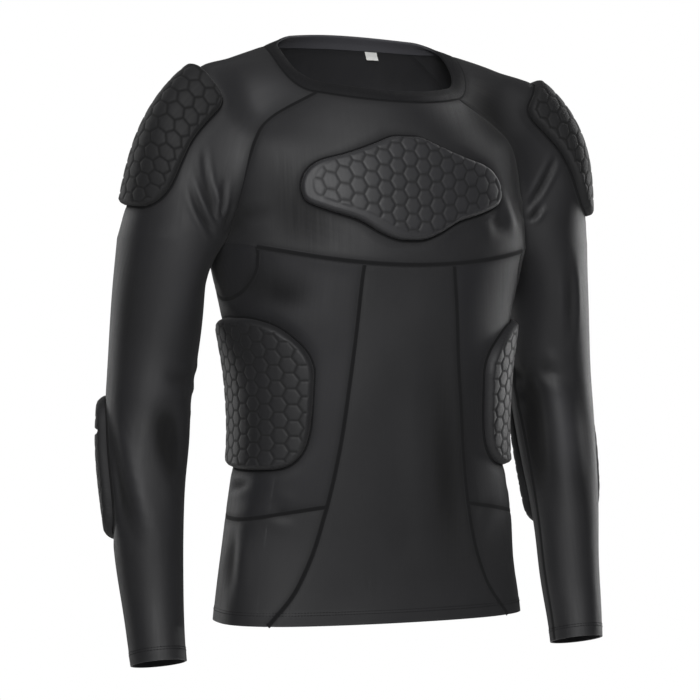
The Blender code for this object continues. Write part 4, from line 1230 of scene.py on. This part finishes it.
def add_label(material):
    """Small blank tag inside the back neck, its lower edge curling off the cloth."""
    x, y = np.meshgrid(*(np.linspace(-1, 1, cells + 1) for cells in LABEL_CELLS))
    flat = np.stack([x.ravel(), y.ravel()], -1) * LABEL_HALF
    point, normal = chart(back_point, *LABEL_PLACE)(flat)
    curl = LABEL_CURL * eased(-y.ravel() - LABEL_CURL_START) + CLOTH_WALL / 2 + PAD_SINK
    points = np.concatenate([point + normal * (curl + wall)[:, None] for wall in (LABEL_WALL, 0)])
    quads = grid_quads(np.arange(len(flat)).reshape(x.shape).T)
    add_piece("label_tag", points, wall_faces(quads, len(flat)), material, "label", ("label",),
              np.concatenate([flat, flat]))


def feed(tree, node, inputs):
    """Set or link a node's inputs: each is a number, a colour or another node's output."""
    for key, value in inputs.items():
        if isinstance(value, bpy.types.NodeSocket):
            tree.links.new(value, node.inputs[key])
        else:
            node.inputs[key].default_value = value


def add_node(tree, kind, inputs=None, **settings):
    """Outputs of a new shader node."""
    node = tree.nodes.new("ShaderNode" + kind)
    for key, value in settings.items():
        setattr(node, key, value)
    feed(tree, node, inputs or {})
    return node.outputs


def add_math(tree, operation, *values):
    return add_node(tree, "Math", dict(enumerate(values)), operation=operation)[0]


def add_noise(tree, place, scale, detail):
    return add_node(tree, "TexNoise", {"Vector": place, "Scale": scale, "Detail": detail})["Fac"]


def ranged(tree, value, low, high, new_low, new_high):
    return add_node(tree, "MapRange", {"Value": value, "From Min": low, "From Max": high,
                                       "To Min": new_low, "To Max": new_high})["Result"]


def mixed(tree, factor, first, second):
    return add_node(tree, "Mix", {0: factor, 6: first, 7: second}, data_type="RGBA")[2]


def new_material(name):
    material = bpy.data.materials.new(name)
    material.use_nodes = True
    return material, material.node_tree, material.node_tree.nodes["Principled BSDF"]


def knit_material(name, finish):
    """Knitted cloth: loops in rows, satin streaks along them, slow fading, and a tone for every point that
    scales its colour, carrying painted shade and light.
    """
    def color(share):
        return (*(channel * share for channel in finish.color), 1)

    material, tree, shader = new_material(name)
    flat = add_node(tree, "UVMap", uv_map="flat")["UV"]
    place = add_node(tree, "TexCoord")["Object"]
    tone = add_node(tree, "Attribute", attribute_name="tone")["Fac"]
    axes = add_node(tree, "SeparateXYZ", {"Vector": flat})
    turns = 2 * math.pi / finish.loop
    wale = add_math(tree, "SINE", add_math(tree, "MULTIPLY", axes["X"], turns))
    course = add_math(tree, "SINE", add_math(tree, "MULTIPLY", axes["Y"], turns * ROWS_PER_LOOP))
    loops = add_math(tree, "MULTIPLY", add_math(tree, "ABSOLUTE", wale),
                     ranged(tree, course, -1, 1, LOOP_LOW, 1))
    stretched = add_node(tree, "Mapping", {"Vector": flat, "Scale": STREAK_STRETCH})["Vector"]
    streak = add_noise(tree, stretched, *STREAK_NOISE)
    patches = ranged(tree, add_noise(tree, place, *PATCH_NOISE), *PATCH_RANGE, 0, 1)
    fuzz = ranged(tree, add_noise(tree, place, *FUZZ_NOISE), *FUZZ_RANGE, 0, FUZZ_MOST)
    faded = mixed(tree, patches, *map(color, PATCH_SHARES))
    fuzzy = mixed(tree, fuzz, faded, color(FUZZ_SHARE))
    satin = ranged(tree, streak, *STREAK_RANGE, *(finish.roughness + change for change in STREAK_ROUGHNESS))
    dulled = ranged(tree, tone, 0, 1, DARK_ROUGHNESS, 0)
    height = add_math(tree, "ADD", loops, add_math(tree, "MULTIPLY", streak, STREAK_RELIEF))
    relief = {"Height": height, "Strength": RELIEF_STRENGTH, "Distance": finish.relief}
    feed(tree, shader, {
        "Base Color": add_node(tree, "VectorMath", {0: fuzzy, "Scale": tone}, operation="SCALE")["Vector"],
        "Roughness": add_math(tree, "ADD", satin, dulled),
        "Normal": add_node(tree, "Bump", relief)["Normal"],
        "Specular IOR Level": finish.gloss,
        "Sheen Weight": finish.sheen,
        "Sheen Roughness": SHEEN_ROUGHNESS,
    })
    return material


def add_camera():
    camera = bpy.data.cameras.new("camera")
    camera.lens = CAMERA_LENS
    camera.sensor_width = CAMERA_SENSOR
    holder = placed("camera", camera)
    holder.location = CAMERA_SIDE * RIGHT - CAMERA_DISTANCE * FORWARD + np.array([0, 0, CAMERA_Z])
    holder.rotation_euler = (math.pi / 2 + CAMERA_PITCH, 0, CAMERA_TURN)
    bpy.context.scene.camera = holder


def add_lights():
    for box in SOFT_BOXES:
        light = bpy.data.lights.new(box.name, "AREA")
        light.shape = "RECTANGLE"
        light.size, light.size_y = box.width, box.height
        light.energy = box.watts
        holder = placed(box.name, light)
        place = Vector(box.right * RIGHT + box.forward * FORWARD + np.array([0, 0, box.up]))
        holder.location = place
        holder.rotation_euler = (Vector(LIGHT_AIM) - place).to_track_quat("-Z", "Y").to_euler()


def add_world():
    """White backdrop to the eye, with only a low even light from it on the shirt."""
    world = bpy.data.worlds.new("studio")
    bpy.context.scene.world = world
    world.use_nodes = True
    tree = world.node_tree
    seen = add_node(tree, "LightPath")["Is Camera Ray"]
    strength = ranged(tree, seen, 0, 1, AMBIENT, 1)
    feed(tree, tree.nodes["Background"], {"Color": (1, 1, 1, 1), "Strength": strength})
    bpy.context.scene.view_settings.view_transform = "Standard"


def add_floor():
    """Plain pale floor far below the shirt, fading into the white round its edge."""
    angles = np.linspace(0, 2 * math.pi, FLOOR_SIDES, endpoint=False)
    rim = np.stack([np.cos(angles), np.sin(angles), np.zeros_like(angles)], -1) * FLOOR_RADIUS
    mesh = bpy.data.meshes.new("floor")
    mesh.from_pydata((rim + np.array([0, 0, FLOOR_Z])).tolist(), [], [list(range(FLOOR_SIDES))])
    material, tree, shader = new_material("floor")
    place = add_node(tree, "TexCoord")["Object"]
    far = add_node(tree, "VectorMath", {0: place, 1: (0, 0, FLOOR_Z)}, operation="DISTANCE")["Value"]
    fade = ranged(tree, far, *(FLOOR_RADIUS * share for share in FLOOR_FADE), 1, 0)
    feed(tree, shader, {"Base Color": FLOOR_COLOR, "Roughness": FLOOR_ROUGHNESS, "Alpha": fade})
    mesh.materials.append(material)
    placed("floor", mesh)


def main():
    looks = {name: knit_material(name, finish) for name, finish in FINISHES.items()}
    cloth = Cloth()
    pads = {kind: Pad(chart(*seat), outline, LOOKS[kind]) for kind, (*seat, outline) in PADS.items()}
    shape_cloth(cloth, pads)
    walls, *tones = cloth_walls(cloth)
    for name in cloth.quads:
        slot = PANEL_SLOTS.get(panel_of(name), "cloth")
        shape = band_walls(cloth) if name == "neckband" else (walls, *tones)
        add_panel(cloth, name, looks[slot], slot, *shape)
    for kind, pad in pads.items():
        for side in ("",) if kind == "chest" else ("_left", "_right"):
            pad.add(f"pad_{kind}{side}", f"{kind}_pad{side}", looks["pad"], side == "_right")
    add_label(looks["label"])
    add_seams(cloth, walls, pads, looks["thread"])
    add_stitches(cloth, walls, looks["thread"])
    add_camera()
    add_lights()
    add_world()
    add_floor()


main()
